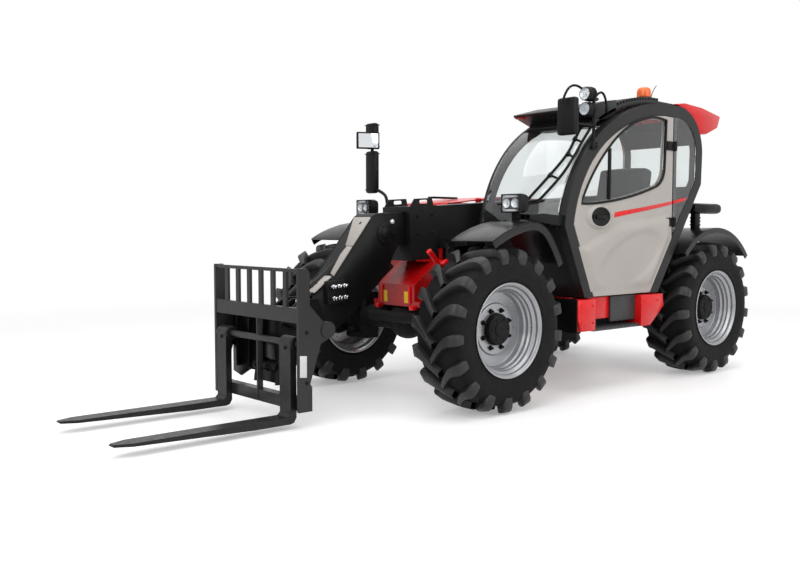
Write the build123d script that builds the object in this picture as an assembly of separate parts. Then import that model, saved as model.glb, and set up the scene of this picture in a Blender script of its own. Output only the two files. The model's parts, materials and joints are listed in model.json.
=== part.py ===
from build123d import *
import math
import os

# Wheels and axles
WHEELBASE = 2690.0
TRACK = 1710.0
TYRE_RADIUS = 578.0
TYRE_WIDTH = 430.0
TYRE_SIDES = 36
RIM_SEAT = 315.0
RIM_FLANGE = 330.0
RIM_WIDTH = 400.0
DISC_FACE = 60.0
HUB_NOSE_R = 110.0
HUB_NOSE_OUT = 105.0
SPINDLE_R = 60.0
KINGPIN_OFFSET = 175.0
KINGPIN_R = 30.0
YOKE_GAP = 150.0
YOKE_PLATE = 35.0
STEER_DEG = 35.0
FENDER_R_FRONT = 725.0
FENDER_R_REAR = 705.0
FENDER_INNER = 640.0
FENDER_OUTER = 1045.0
FENDER_T = 10.0

# Chassis
OUTRIGGERS = (-540.0, 450.0)
OUTRIGGER_W = 90.0
OUTRIGGER_REACH = 880.0
RAIL_OUT = 210.0
RAIL_T = 25.0
BELLY = 480.0
RAIL_TOP = 900.0
AXLE_SEAT = 690.0
NOSE_X = 1470.0
NOSE_TOP = 1020.0
TAIL_X = -1900.0

# Boom, in its own frame from the pivot: u along the boom, w upwards
PIVOT_X = -1650.0
PIVOT_Z = 1480.0
BOOM_DROOP = 3.5
PIVOT_R = 45.0
OUTER_TOP = 143.0
OUTER_H = 330.0
OUTER_W = 280.0
OUTER_END = 3120.0
COLLAR_LEN = 280.0
COLLAR_BOTTOM = -256.0
BOOM_WALL = 10.0
INNER_TOP = 110.0
INNER_H = 245.0
INNER_W = 220.0
INNER_TAIL = 380.0
KNEE_U = 3619.0
EXTEND = 1900.0
SLIDE_GAP = 0.3
FIT = 0.05
HEAD_PIN_U = 3979.0
HEAD_PIN_W = -678.0
HEAD_PIN_R = 35.0
HEAD_PLATE = 16.0
BOSS_W = 50.0

# Cylinders: the end pins and the bodies
LIFT_BASE = (-1290.0, 830.0)
LIFT_EYE_U = 1519.0
LIFT_EYE_W = -258.0
LIFT_BARREL_R = 70.0
LIFT_ROD_R = 35.0
LIFT_DEG = 65.0
TILT_BASE_U = 3420.0
TILT_BASE_W = -70.0
TILT_ARM = 200.0
TILT_ARM_DEG = 70.0
TILT_BARREL_R = 50.0
TILT_ROD_R = 28.0
TILT_BACK_DEG = 12.0
TILT_DUMP_DEG = 114.0
EYE_HALF = 25.0
LUG_HALF = 40.0
LUG_T = 20.0

# Fork frame and forks, measured from the head pin
FRAME_REACH = 420.0
FRAME_HALF = 530.0
FRAME_T = 25.0
FRAME_TOP = 465.0
SHELF_LOW = 120.0
SHELF_HIGH = 215.0
SHAFT_DROP = 15.0
SHAFT_R = 22.0
FRAME_FOOT = -445.0
FOOT_BAR_H = 80.0
HOOK_X = 220.0
HOOK_Z = 65.0
HOOK_TUBE_R = 32.0
GUARD_BARS = 6
FORK_Y = 400.0
FORK_W = 125.0
FORK_T = 45.0
FORK_LEN = 1200.0
FORK_DROP = 524.0
FORK_IN = 230.0
FORK_OUT = 25.0

# Cab
CAB_LEFT = 970.0
CAB_RIGHT = 215.0
CAB_SILL = 750.0
CAB_NOSE = 120.0
RING_T = 70.0
RING_BAND = 95.0
CAB_WALL = 30.0
GLASS_T = 8.0
DOOR_T = 42.0
DOOR_GAP = 6.0
DOOR_REAR = -745.0
DOOR_HINGE_X = -752.0
DOOR_HINGE_Y = 988.0
DOOR_OPEN_DEG = 95.0
COWL_Z = 1300.0
GLASS_TOP_Z = 2060.0
ROOF_RISE = 30.0

# Engine side
POD_OUT = -985.0
POD_IN = -245.0
POD_FLOOR = 520.0
BONNET_LOW = 900.0
BONNET_TOP = 1555.0
BONNET_SKIN = 10.0
BONNET_OPEN_DEG = 60.0
BONNET_HINGE_Y = -268.0

AXLE_Z = TYRE_RADIUS
AXLE_X = WHEELBASE / 2
WHEEL_Y = TRACK / 2
KINGPIN_Y = WHEEL_Y - KINGPIN_OFFSET
RAIL_IN = RAIL_OUT - RAIL_T
BOOM_FRAME = Pos(PIVOT_X, 0, PIVOT_Z) * Rot(0, BOOM_DROOP, 0)
CORNERS = {
    "front_left": (1, 1),
    "front_right": (1, -1),
    "rear_left": (-1, 1),
    "rear_right": (-1, -1),
}


def from_boom(u, w):
    a = math.radians(BOOM_DROOP)
    x = PIVOT_X + u * math.cos(a) + w * math.sin(a)
    z = PIVOT_Z - u * math.sin(a) + w * math.cos(a)
    return x, z


HEAD_X, HEAD_Z = from_boom(HEAD_PIN_U, HEAD_PIN_W)
LIFT_EYE = from_boom(LIFT_EYE_U, LIFT_EYE_W)
TILT_BASE = from_boom(TILT_BASE_U, TILT_BASE_W)
TILT_EYE = (
    HEAD_X + TILT_ARM * math.cos(math.radians(TILT_ARM_DEG)),
    HEAD_Z + TILT_ARM * math.sin(math.radians(TILT_ARM_DEG)),
)


def box(x0, x1, y0, y1, z0, z1):
    return Pos((x0 + x1) / 2, (y0 + y1) / 2, (z0 + z1) / 2) * Box(x1 - x0, y1 - y0, z1 - z0)


def outline(*points):
    return make_face(Polyline(*points, close=True))


def across(face, y0, y1):
    return extrude(Plane.XZ.offset(-y1) * face, y1 - y0)


def bar_y(x, z, radius, y0, y1):
    return Pos(x, (y0 + y1) / 2, z) * Rot(90, 0, 0) * Cylinder(radius, y1 - y0)


def bar_x(y, z, radius, x0, x1):
    return Pos((x0 + x1) / 2, y, z) * Rot(0, 90, 0) * Cylinder(radius, x1 - x0)


def post(x, y, radius, z0, z1):
    return Pos(x, y, (z0 + z1) / 2) * Cylinder(radius, z1 - z0)


def rod(start, end, radius):
    direction = Vector(*end) - Vector(*start)
    return Solid.make_cylinder(radius, direction.length, Plane(origin=start, z_dir=direction))


def other_side(shape):
    return mirror(shape, about=Plane.XZ)


def turned(profile):
    return revolve(outline(*profile), axis=Axis.Y)


# Wheels, in a frame at the wheel centre with +Y pointing outboard

def ring_section(y, radius):
    plane = Plane(origin=(0, y, 0), x_dir=(1, 0, 0), z_dir=(0, 1, 0))
    return plane * RegularPolygon(radius, TYRE_SIDES, major_radius=False, rotation=180 / TYRE_SIDES)


def tyre():
    half = TYRE_WIDTH / 2
    stations = [
        (RIM_WIDTH / 2 - 14.5, RIM_SEAT + 2),
        (RIM_WIDTH / 2 - 13.5, RIM_FLANGE + 1),
        (half, RIM_SEAT + 0.45 * (TYRE_RADIUS - RIM_SEAT)),
        (0.94 * half, TYRE_RADIUS - 38),
        (0.6 * half, TYRE_RADIUS),
    ]
    skin = [(-y, r) for y, r in stations] + [(y, r) for y, r in reversed(stations)]
    body = loft([ring_section(y, r) for y, r in skin], ruled=True)
    hole = extrude(ring_section(-half, RIM_SEAT), TYRE_WIDTH)
    return body - hole


def rim():
    half = RIM_WIDTH / 2
    seat = RIM_SEAT - SLIDE_GAP
    well = seat - 32
    skin = 11
    return turned([
        (HUB_NOSE_R + 1, DISC_FACE),
        (HUB_NOSE_R + 70, DISC_FACE),
        (HUB_NOSE_R + 95, DISC_FACE - 14),
        (well - skin - 12, DISC_FACE - 14),
        (well - skin - 12, DISC_FACE + 30),
        (well - skin, DISC_FACE + 42),
        (well - skin, DISC_FACE + 62),
        (well, DISC_FACE + 76),
        (well, DISC_FACE + 94),
        (seat - skin, DISC_FACE + 104),
        (seat - skin, half - 14),
        (RIM_FLANGE - 9, half),
        (RIM_FLANGE, half),
        (RIM_FLANGE, half - 9),
        (seat, half - 13),
        (seat, half - 70),
        (well, half - 110),
        (well, 90 - half),
        (seat, 60 - half),
        (seat, 13 - half),
        (RIM_FLANGE, 9 - half),
        (RIM_FLANGE, -half),
        (RIM_FLANGE - 9, -half),
        (seat - skin, 14 - half),
        (seat - skin, 60 - half),
        (well - skin, 90 - half),
        (well - skin - 12, DISC_FACE - 60),
        (well - skin - 30, DISC_FACE - 28),
        (HUB_NOSE_R + 90, DISC_FACE - 28),
        (HUB_NOSE_R + 66, DISC_FACE - 14),
        (HUB_NOSE_R + 1, DISC_FACE - 14),
    ])


def hub():
    inner = 85 - KINGPIN_OFFSET - 5
    return turned([
        (SPINDLE_R + FIT, inner + SLIDE_GAP),
        (150, inner + SLIDE_GAP),
        (150, 20),
        (HUB_NOSE_R + 62, 20),
        (HUB_NOSE_R + 62, DISC_FACE - 14),
        (HUB_NOSE_R, DISC_FACE - 14),
        (HUB_NOSE_R, HUB_NOSE_OUT - 18),
        (HUB_NOSE_R - 6, HUB_NOSE_OUT - 6),
        (HUB_NOSE_R - 22, HUB_NOSE_OUT),
        (0, HUB_NOSE_OUT),
        (0, 0),
        (SPINDLE_R + FIT, 0),
    ])


def knuckle():
    king = -KINGPIN_OFFSET
    face = 80 - KINGPIN_OFFSET
    body = bar_y(0, 0, 112, king - 75, face)
    collar = YOKE_GAP - SLIDE_GAP
    body += Pos(0, king, 0) * Cylinder(58, 2 * collar)
    body += Pos(0, king, 0) * Cylinder(KINGPIN_R, 2 * (YOKE_GAP + YOKE_PLATE))
    body += bar_y(0, 0, SPINDLE_R, face, -2)
    arm = box(-235, -60, king - 30, king + 30, -40, 0)
    arm += Pos(-235, king, -20) * Cylinder(30, 40)
    return body + arm


def place_wheel_part(shape, corner):
    front, left = CORNERS[corner]
    sided = shape if left > 0 else other_side(shape)
    return Pos(front * AXLE_X, left * WHEEL_Y, AXLE_Z) * sided


def knuckle_at(corner):
    front, left = CORNERS[corner]
    shape = knuckle() if front > 0 else mirror(knuckle(), about=Plane.YZ)
    return place_wheel_part(shape, corner)


def axle_housing(front):
    web = KINGPIN_Y - 180
    tall = YOKE_GAP + YOKE_PLATE
    yoke = box(-65, 65, web - 60, web, -tall, tall)
    for low in (YOKE_GAP, -tall):
        yoke += box(-65, 65, web - 60, KINGPIN_Y, low, low + YOKE_PLATE)
        yoke += Pos(0, KINGPIN_Y, low + YOKE_PLATE / 2) * Cylinder(65, YOKE_PLATE)
    yoke -= Pos(0, KINGPIN_Y, 0) * Cylinder(KINGPIN_R + FIT, 3 * tall)
    beam = bar_y(0, 0, 88, -web + 10, web - 10)
    beam += Sphere(150)
    beam += bar_x(0, 0, 82, -300, 0)
    beam += bar_x(0, 0, 105, -300, -270)
    for y in (-190, 190):
        beam += box(-95, 95, y - 45, y + 45, 0, AXLE_SEAT - AXLE_Z)
    beam += bar_y(150, 30, 42, -260, 260)
    for y in (-150, 150):
        beam += box(40, 165, y - 20, y + 20, -20, 60)
    beam -= box(-400, 400, -400, 400, AXLE_SEAT - AXLE_Z, 400)
    housing = beam + yoke + other_side(yoke)
    if not front:
        housing = Rot(0, 0, 180) * housing
    return Pos(AXLE_X if front else -AXLE_X, 0, AXLE_Z) * housing


# Chassis

def rail():
    side = outline(
        (TAIL_X, AXLE_SEAT),
        (TAIL_X, PIVOT_Z - 230),
        (PIVOT_X - 140, PIVOT_Z + 60),
        (PIVOT_X - 90, PIVOT_Z + 110),
        (PIVOT_X + 90, PIVOT_Z + 110),
        (PIVOT_X + 150, PIVOT_Z + 40),
        (PIVOT_X + 500, RAIL_TOP + 60),
        (PIVOT_X + 620, RAIL_TOP),
        (NOSE_X - 400, RAIL_TOP),
        (NOSE_X - 260, NOSE_TOP),
        (NOSE_X - 220, NOSE_TOP),
        (NOSE_X, NOSE_TOP - 165),
        (NOSE_X, AXLE_SEAT),
        (AXLE_X - 270, AXLE_SEAT),
        (AXLE_X - 380, BELLY),
        (-AXLE_X + 380, BELLY),
        (-AXLE_X + 270, AXLE_SEAT),
    )
    return across(side, RAIL_IN, RAIL_OUT)


def chassis_frame():
    plate = rail()
    foot = box(AXLE_X - 130, AXLE_X + 125, RAIL_OUT, RAIL_OUT + 55, AXLE_SEAT, AXLE_SEAT + 40)
    side = plate + foot
    frame = side + other_side(side)
    frame += box(-AXLE_X + 370, AXLE_X - 370, -RAIL_IN, RAIL_IN, BELLY, BELLY + 12)
    frame += box(NOSE_X - 20, NOSE_X, -RAIL_IN, RAIL_IN, AXLE_SEAT, NOSE_TOP - 165)
    hood = outline(
        (NOSE_X, NOSE_TOP - 165),
        (NOSE_X - 220, NOSE_TOP),
        (NOSE_X - 260, NOSE_TOP),
        (NOSE_X - 260, NOSE_TOP - 15),
        (NOSE_X - 225, NOSE_TOP - 15),
        (NOSE_X - 10, NOSE_TOP - 175),
    )
    frame += across(hood, -RAIL_IN, RAIL_IN)
    frame += box(AXLE_X - 250, NOSE_X, -RAIL_IN, RAIL_IN, AXLE_SEAT, AXLE_SEAT + 20)
    frame += box(-AXLE_X - 150, -AXLE_X + 200, -RAIL_IN, RAIL_IN, AXLE_SEAT, AXLE_SEAT + 20)
    frame += box(TAIL_X, TAIL_X + 25, -RAIL_IN, RAIL_IN, AXLE_SEAT, PIVOT_Z - 230)
    frame += bar_y(PIVOT_X, PIVOT_Z, PIVOT_R, -RAIL_OUT - 18, RAIL_OUT + 18)
    lift_x, lift_z = LIFT_BASE
    for y in (LUG_HALF, -LUG_HALF - LUG_T):
        lug = outline((lift_x - 110, AXLE_SEAT + 20), (lift_x - 40, lift_z + 45),
                      (lift_x + 40, lift_z + 45), (lift_x + 110, AXLE_SEAT + 20))
        frame += across(lug, y, y + LUG_T)
    frame += bar_y(lift_x, lift_z, 28, -LUG_HALF - LUG_T, LUG_HALF + LUG_T)
    for x in OUTRIGGERS:
        for y0, y1 in ((RAIL_IN, OUTRIGGER_REACH), (-OUTRIGGER_REACH, -RAIL_IN)):
            frame += box(x, x + OUTRIGGER_W, y0, y1, CAB_SILL - 90, CAB_SILL)
    return frame


def counterweight():
    half = RAIL_OUT + 70
    shape = box(TAIL_X - 95, TAIL_X, -half, half, AXLE_SEAT - 170, PIVOT_Z - 330)
    shape = fillet(shape.edges().filter_by(Axis.Z).group_by(Axis.X)[0], 40)
    for z in (AXLE_SEAT - 120, AXLE_SEAT - 20):
        ear = box(TAIL_X - 190, TAIL_X - 95, -60, 60, z, z + 28)
        ear += post(TAIL_X - 190, 0, 60, z, z + 28)
        shape += ear
    return shape - post(TAIL_X - 190, 0, 16.5, AXLE_SEAT - 200, AXLE_SEAT + 100)


def fender(radius, start_deg, end_deg):
    outer = CenterArc((0, 0), radius, start_deg, end_deg - start_deg)
    inner = CenterArc((0, 0), radius - FENDER_T, start_deg, end_deg - start_deg)
    strip = make_face([outer, inner, Line(outer @ 0, inner @ 0), Line(outer @ 1, inner @ 1)])
    lip_in = CenterArc((0, 0), radius - 45, start_deg, end_deg - start_deg)
    lip = make_face([outer, lip_in, Line(outer @ 0, lip_in @ 0), Line(outer @ 1, lip_in @ 1)])
    shell = across(strip, FENDER_INNER, FENDER_OUTER)
    return shell + across(lip, FENDER_OUTER - FENDER_T, FENDER_OUTER)


def front_fender():
    shell = Pos(AXLE_X, 0, AXLE_Z) * fender(FENDER_R_FRONT, 58, 142)
    arm_z = AXLE_Z + TYRE_RADIUS + 16
    back, fore = AXLE_X - 270, AXLE_X - 190
    stay = box(back, fore, RAIL_OUT, FENDER_INNER + 8, arm_z, arm_z + 28)
    stay += box(back, fore, RAIL_OUT, RAIL_OUT + 20, RAIL_TOP + 10, arm_z + 28)
    stay += box(back, fore, FENDER_INNER - 8, FENDER_INNER + 8, arm_z, AXLE_Z + FENDER_R_FRONT - 52)
    return shell + stay


def rear_fender():
    shell = Pos(-AXLE_X, 0, AXLE_Z) * fender(FENDER_R_REAR, 44, 140)
    top = AXLE_Z + FENDER_R_REAR
    stay = box(-AXLE_X - 60, -AXLE_X + 20, RAIL_OUT, FENDER_INNER + 8, top - 34, top - 4)
    return shell + stay


def step_box():
    out = CAB_LEFT + 35
    front = outline((330, 500), (330, CAB_SILL - 10), (545, CAB_SILL - 10), (545, 600), (500, 500))
    rear = outline((-270, 490), (-270, CAB_SILL - 10), (-575, CAB_SILL - 10), (-590, 640), (-400, 490))
    shape = across(front, RAIL_OUT, out) + across(rear, RAIL_OUT, out)
    shape += box(-270, 330, RAIL_OUT, out - 190, 500, CAB_SILL - 120)
    shape += box(-270, 330, out - 190, out - 15, 490, 505)
    for x in range(-250, 330, 46):
        shape += box(x, x + 12, out - 190, out - 15, 505, 517)
    for x in OUTRIGGERS:
        shape -= box(x, x + OUTRIGGER_W, 0, OUTRIGGER_REACH, CAB_SILL - 90, CAB_SILL)
    return shape


# Engine side

def engine_block():
    block = box(-420, 420, -860, -360, POD_FLOOR + 40, 1180)
    block += box(-300, 300, -760, -460, 1180, 1300)
    block += bar_x(-610, 900, 150, 420, 500)
    block += box(-350, 350, -700, -500, POD_FLOOR + 12, POD_FLOOR + 40)
    return block


def engine_pod():
    tray = box(-560, 600, POD_OUT + 20, POD_IN, POD_FLOOR, POD_FLOOR + 12)
    tray += box(-560, 600, POD_OUT + 20, POD_OUT + 35, POD_FLOOR, BONNET_LOW - 6)
    for x in (-560, 588):
        tray += box(x, x + 12, POD_OUT + 20, POD_IN, POD_FLOOR, BONNET_LOW - 6)
    top = BONNET_TOP - 175
    wall = outline((-560, POD_FLOOR), (-560, 1290), (-1020, 1330), (-1020, top), (600, top), (600, POD_FLOOR))
    tray += across(wall, POD_IN - 3, POD_IN + 12)
    for x in OUTRIGGERS:
        tray -= box(x, x + OUTRIGGER_W, -OUTRIGGER_REACH, 0, CAB_SILL - 90, CAB_SILL)
    for x in (-800, 300):
        for low in (x - 40, x + 30.5):
            tray += box(low, low + 9.5, BONNET_HINGE_Y - 12, POD_IN, top - 20, BONNET_TOP - 95)
        tray += bar_x(BONNET_HINGE_Y, BONNET_TOP - 110, 7, x - 35, x + 35)
    return tray


def bonnet_side(inset):
    return outline(
        (690 - inset, BONNET_LOW - 2 * inset),
        (705 - inset, BONNET_TOP - 170),
        (630 - inset, BONNET_TOP - 60 - inset),
        (60, BONNET_TOP - inset),
        (-900, BONNET_TOP - 10 - inset),
        (-1040 + inset, BONNET_TOP - 110),
        (-1050 + inset, 1330 - 2 * inset),
        (-650 + inset, 1330 - 2 * inset),
        (-610 + inset, BONNET_LOW - 2 * inset),
    )


def bonnet():
    hinge_z = BONNET_TOP - 110
    shape = across(bonnet_side(0), POD_OUT, POD_IN - 8)
    edge = shape.edges().filter_by(Axis.Y, reverse=True).group_by(Axis.Y)[0]
    shape = fillet([e for e in edge if e.center().Z > 1390], 60)
    shape -= across(bonnet_side(BONNET_SKIN), POD_OUT + BONNET_SKIN, POD_IN)
    shape -= box(-1200, 900, POD_IN - 60, POD_IN, 0, hinge_z + 45)
    for x in (-800, 300):
        shape -= bar_x(BONNET_HINGE_Y, hinge_z, 20, x - 46, x + 46)
        barrel = bar_x(BONNET_HINGE_Y, hinge_z, 14, x - 30, x + 30)
        leaf = box(x - 30, x + 30, BONNET_HINGE_Y - 6, BONNET_HINGE_Y + 6, hinge_z, BONNET_TOP - 18)
        shape += (barrel + leaf) - bar_x(BONNET_HINGE_Y, hinge_z, 7 + FIT, x - 50, x + 50)
    slots = [box(690, 720, y, y + 16, 1060, 1330) for y in range(-900, -330, 40)]
    return shape - slots


# Cab

def cab_outline(nose, bottom):
    cowl = (665 + nose, COWL_Z - 10)
    lean = 0.452 * (cowl[1] - bottom)
    waist = (-1190, 1660)
    rake = 0.701 * (waist[1] - bottom)
    low_front = Line((cowl[0] - lean, bottom), cowl)
    screen = ThreePointArc(cowl, (502 + nose, 1740), (172 + nose, GLASS_TOP_Z))
    brow = TangentArc(screen @ 1, (-600, 2300), tangent=screen % 1)
    top = Line(brow @ 1, (-830, 2296))
    rear = TangentArc(top @ 1, (-1200, 1900), tangent=top % 1)
    down = Line(rear @ 1, waist)
    low_rear = Line(waist, (waist[0] + rake, bottom))
    sill = Line(low_rear @ 1, low_front @ 0)
    return make_face([low_front, screen, brow, top, rear, down, low_rear, sill])


def door_opening():
    return offset(cab_outline(0, CAB_SILL - RING_BAND), -RING_BAND)


def cab_frame():
    ring = across(cab_outline(0, CAB_SILL) - door_opening(), CAB_LEFT - RING_T, CAB_LEFT)
    right = cab_outline(CAB_NOSE, CAB_SILL) - offset(cab_outline(CAB_NOSE, CAB_SILL), -RING_BAND)
    wall = across(right, CAB_RIGHT, CAB_RIGHT + CAB_WALL)
    low = across(cab_outline(CAB_NOSE, CAB_SILL), CAB_RIGHT, CAB_RIGHT + CAB_WALL)
    wall += low & box(-2000, 2000, 0, 2000, CAB_SILL, COWL_Z - 60)
    inside = CAB_LEFT - RING_T
    header = across(cab_outline(0, CAB_SILL) - offset(cab_outline(0, CAB_SILL), -60), CAB_RIGHT + CAB_WALL, inside)
    front_beam = header & box(-50, 250, 0, 2000, GLASS_TOP_Z + 10, 2180)
    rear_beam = header & box(-1300, -1080, 0, 2000, 2000, 2140)
    pillar = across(door_opening(), inside, CAB_LEFT - 15) & box(DOOR_REAR - 70, DOOR_REAR - 12, 0, 2000, 0, 3000)
    frame = ring + wall + front_beam + rear_beam + pillar
    for z in (1330, 1960):
        for low in (z - 41, z + 31):
            frame += box(DOOR_HINGE_X - 11, DOOR_HINGE_X + 4, CAB_LEFT - 60, DOOR_HINGE_Y + 4, low, low + 10)
        frame += post(DOOR_HINGE_X, DOOR_HINGE_Y, 7, z - 41, z + 41)
    return frame


def cab_body():
    inside = CAB_LEFT - RING_T
    right = CAB_RIGHT + CAB_WALL
    loop = cab_outline(0, CAB_SILL) - offset(cab_outline(0, CAB_SILL), -CAB_WALL)
    walls = across(loop, right, inside)
    floor = walls & box(-1000, 1000, 0, 2000, CAB_SILL, CAB_SILL + CAB_WALL)
    back = walls & box(-1400, 0, 0, 2000, CAB_SILL, 1640)
    front = loft([cowl_strip(right, CAB_NOSE), cowl_strip(inside, 0)], ruled=True)
    edge = 663 - 0.452 * (COWL_Z - 10 - CAB_SILL)
    toe = outline((350, right), (edge + CAB_NOSE, right), (edge, inside), (350, inside))
    toe = Pos(0, 0, CAB_SILL) * extrude(toe, CAB_WALL)
    return floor + back + front + toe


def cowl_strip(y, nose):
    lean = 0.452 * (COWL_Z - 10 - CAB_SILL)
    x = 665 + nose
    face = outline((x - lean, CAB_SILL), (x - 4, COWL_Z - 20), (x - 64, COWL_Z - 20), (x - lean - 60, CAB_SILL))
    return Plane.XZ.offset(-y) * face


def screen_strip(y, nose):
    low, mid, high = (667 + nose, COWL_Z - 19), (503 + nose, 1740), (180 + nose, GLASS_TOP_Z - 5)
    t = GLASS_T
    outer = ThreePointArc(low, mid, high)
    inner = ThreePointArc((low[0] - t, low[1]), (mid[0] - 0.9 * t, mid[1] - 0.4 * t), (high[0] - 0.7 * t, high[1] - 0.7 * t))
    face = make_face([outer, inner, Line(outer @ 0, inner @ 0), Line(outer @ 1, inner @ 1)])
    return Plane.XZ.offset(-y) * face


def windscreen():
    span = CAB_LEFT - RING_T - CAB_RIGHT - CAB_WALL
    sections = []
    for share, nose in ((0.0, CAB_NOSE), (0.45, CAB_NOSE + 5), (0.8, 0.6 * CAB_NOSE), (1.0, 0.1 * CAB_NOSE)):
        sections.append(screen_strip(CAB_RIGHT + CAB_WALL + 0.5 + share * (span - 1), nose))
    return loft(sections)


def cab_glass():
    right_face = offset(offset(cab_outline(CAB_NOSE, CAB_SILL), -RING_BAND), -SLIDE_GAP)
    right = across(right_face, CAB_RIGHT + 10, CAB_RIGHT + 10 + GLASS_T)
    right &= box(-2000, 2000, 0, 2000, COWL_Z - 60 + SLIDE_GAP, 3000)
    quarter = across(offset(door_opening(), -SLIDE_GAP), CAB_LEFT - 14, CAB_LEFT - 14 + GLASS_T)
    quarter &= box(-2000, DOOR_HINGE_X - 12, 0, 2000, 0, 3000)
    loop = cab_outline(0, CAB_SILL) - offset(cab_outline(0, CAB_SILL), -GLASS_T)
    rear = across(loop, CAB_RIGHT + CAB_WALL + 0.5, CAB_LEFT - RING_T - 0.5)
    rear &= box(-1400, -1080, 0, 2000, 1641, 1995)
    return [right, quarter, rear]


def cab_roof():
    face = offset(cab_outline(80, CAB_SILL), ROOF_RISE) - offset(cab_outline(0, CAB_SILL), 0)
    slab = across(face, CAB_RIGHT + CAB_WALL, CAB_LEFT - RING_T)
    slab &= box(-1290, 400, 0, 2000, GLASS_TOP_Z + 15, 3000)
    ribs = [across(face, y, y + 24) & box(-900, 60, 0, 2000, 2200, 3000) for y in range(330, 860, 90)]
    slab += [Pos(0, 0, 14) * r for r in ribs]
    visor = outline((388, 2192), (374, 2176), (170, 2110), (100, 2125), (-250, 2240), (-250, 2318), (100, 2264))
    tail = outline((-860, 2310), (-1180, 2325), (-1510, 2262), (-1500, 2240), (-1290, 2110), (-1200, 2180), (-1050, 2260))
    slab += across(visor, CAB_RIGHT - 15, CAB_LEFT - RING_T)
    slab += across(tail, CAB_RIGHT + CAB_WALL, CAB_LEFT - RING_T)
    return slab - cab_frame()


def door_face():
    keep = Pos(DOOR_REAR, 1500) * Rectangle(3000, 3000, align=(Align.MIN, Align.CENTER))
    return offset(door_opening() & keep, -DOOR_GAP)


def door_window():
    face = make_face([
        ThreePointArc((470, 1470), (330, 1690), (130, 1900)),
        ThreePointArc((130, 1900), (-160, 2090), (-430, 2165)),
        Line((-430, 2165), (-630, 2165)),
        Line((-630, 2165), (-610, 1790)),
        ThreePointArc((-610, 1790), (-580, 1690), (-500, 1630)),
        ThreePointArc((-500, 1630), (0, 1515), (470, 1470)),
    ])
    return face


def door_panel():
    panel = across(door_face(), CAB_LEFT - DOOR_T, CAB_LEFT + 2)
    panel -= across(door_window(), 0, 2000)
    panel -= bar_y(280, 1360, 68, CAB_LEFT - 16, CAB_LEFT + 20)
    panel += across(outline((225, 1345), (335, 1345), (335, 1372), (225, 1372)), CAB_LEFT - 20, CAB_LEFT - 3)
    for z in (1330, 1960):
        hinge = post(DOOR_HINGE_X, DOOR_HINGE_Y, 14, z - 30, z + 30)
        hinge += box(DOOR_HINGE_X, DOOR_REAR + 90, CAB_LEFT + 1, CAB_LEFT + 12, z - 30, z + 30)
        panel += hinge - post(DOOR_HINGE_X, DOOR_HINGE_Y, 7 + FIT, z - 50, z + 50)
    return panel


def door_glass():
    return across(offset(door_window(), -SLIDE_GAP), CAB_LEFT - 16, CAB_LEFT - 16 + GLASS_T)


def seat():
    y0, y1 = 370, 830
    base = box(-500, -200, y0 + 60, y1 - 60, CAB_SILL + CAB_WALL, 1100)
    cushion = fillet(box(-660, -140, y0, y1, 1090, 1210).edges(), 35)
    back = across(outline((-640, 1190), (-560, 1190), (-690, 1800), (-790, 1790)), y0 + 20, y1 - 20)
    back = fillet(back.edges().filter_by(Axis.Y), 25)
    head = across(outline((-750, 1760), (-700, 1760), (-715, 1960), (-790, 1950)), y0 + 120, y1 - 120)
    return base + cushion + back + head


def console():
    floor = CAB_SILL + CAB_WALL
    desk = across(outline((250, floor), (370, floor), (540, 1170), (430, 1225), (290, 1195), (330, 1000)), 420, 780)
    column = rod((330, 600, 1130), (160, 600, 1330), 38)
    side = box(-480, 60, CAB_RIGHT + CAB_WALL, 345, CAB_SILL + CAB_WALL, 1120)
    stick = post(-60, 300, 14, 1120, 1290) + Pos(-60, 300, 1300) * Sphere(30)
    return [desk + column, side + stick]


def steering_wheel():
    axis = Vector(-170, 0, 200).normalized()
    at = Plane(origin=Vector(160, 600, 1330) + axis * 10, z_dir=axis)
    ring = at * Torus(190, 16)
    for turn in (0, 120, 240):
        ring += at * Rot(0, 0, turn) * Pos(95, 0, 0) * Box(190, 34, 14)
    return ring + at * Cylinder(45, 20)


# Lamps, mirrors and beacon

def front_lamps():
    lamps = []
    for side in (1, -1):
        y = 840 * side
        shell = fillet(box(1000, 1110, y - 95, y + 95, 1370, 1520).edges(), 20)
        shell += box(1030, 1080, y - 20, y + 20, 1244, 1375)
        guard = front_fender() if side > 0 else other_side(front_fender())
        lamps.append(shell - guard)
    return lamps + [work_lamps()]


def work_lamps():
    y = CAB_LEFT + 12
    foot = (345, y, 1900)
    unit = box(foot[0] - 30, foot[0] + 30, CAB_LEFT, CAB_LEFT + 24, foot[2] - 30, foot[2] + 30)
    unit += rod(foot, (foot[0] + 125, y, foot[2] + 350), 12)
    for rise in (185, 305):
        x = foot[0] + 125 * rise / 350
        z = foot[2] + rise
        unit += bar_x(y, z, 52, x + 22, x + 95) + box(x, x + 30, y - 12, y + 12, z - 15, z + 15)
    return unit


def rear_lamps():
    lamps = []
    for side in (1, -1):
        y = 850 * side
        pod = fillet(box(-1700, -1560, y - 60, y + 60, 1330, 1500).edges(), 15)
        pod += box(-1650, -1610, y - 20, y + 20, 1222, 1335)
        guard = rear_fender() if side > 0 else other_side(rear_fender())
        lamps.append(pod - guard)
    return lamps


def mirrors():
    left = fillet(box(560, 620, 840, 1010, 2010, 2285).edges(), 18)
    left += rod((590, CAB_LEFT + 12, 2145), (430, CAB_LEFT + 12, 2145), 7)
    right = fillet(box(1090, 1160, -790, -620, 1720, 2010).edges(), 18)
    right += fillet(box(1090, 1150, -800, -640, 2050, 2160).edges(), 18)
    right += rod((1110, -700, 2000), (1110, -700, 2060), 12)
    right += rod((1110, -700, 1730), (1090, -680, 1256), 14)
    return [left - work_lamps(), right - other_side(front_fender())]


def beacon():
    foot = post(-850, 600, 62, 2325, 2420)
    dome = post(-850, 600, 55, 2420, 2475) + Pos(-850, 600, 2475) * Sphere(55)
    return foot + dome - cab_roof()


# Boom

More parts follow.
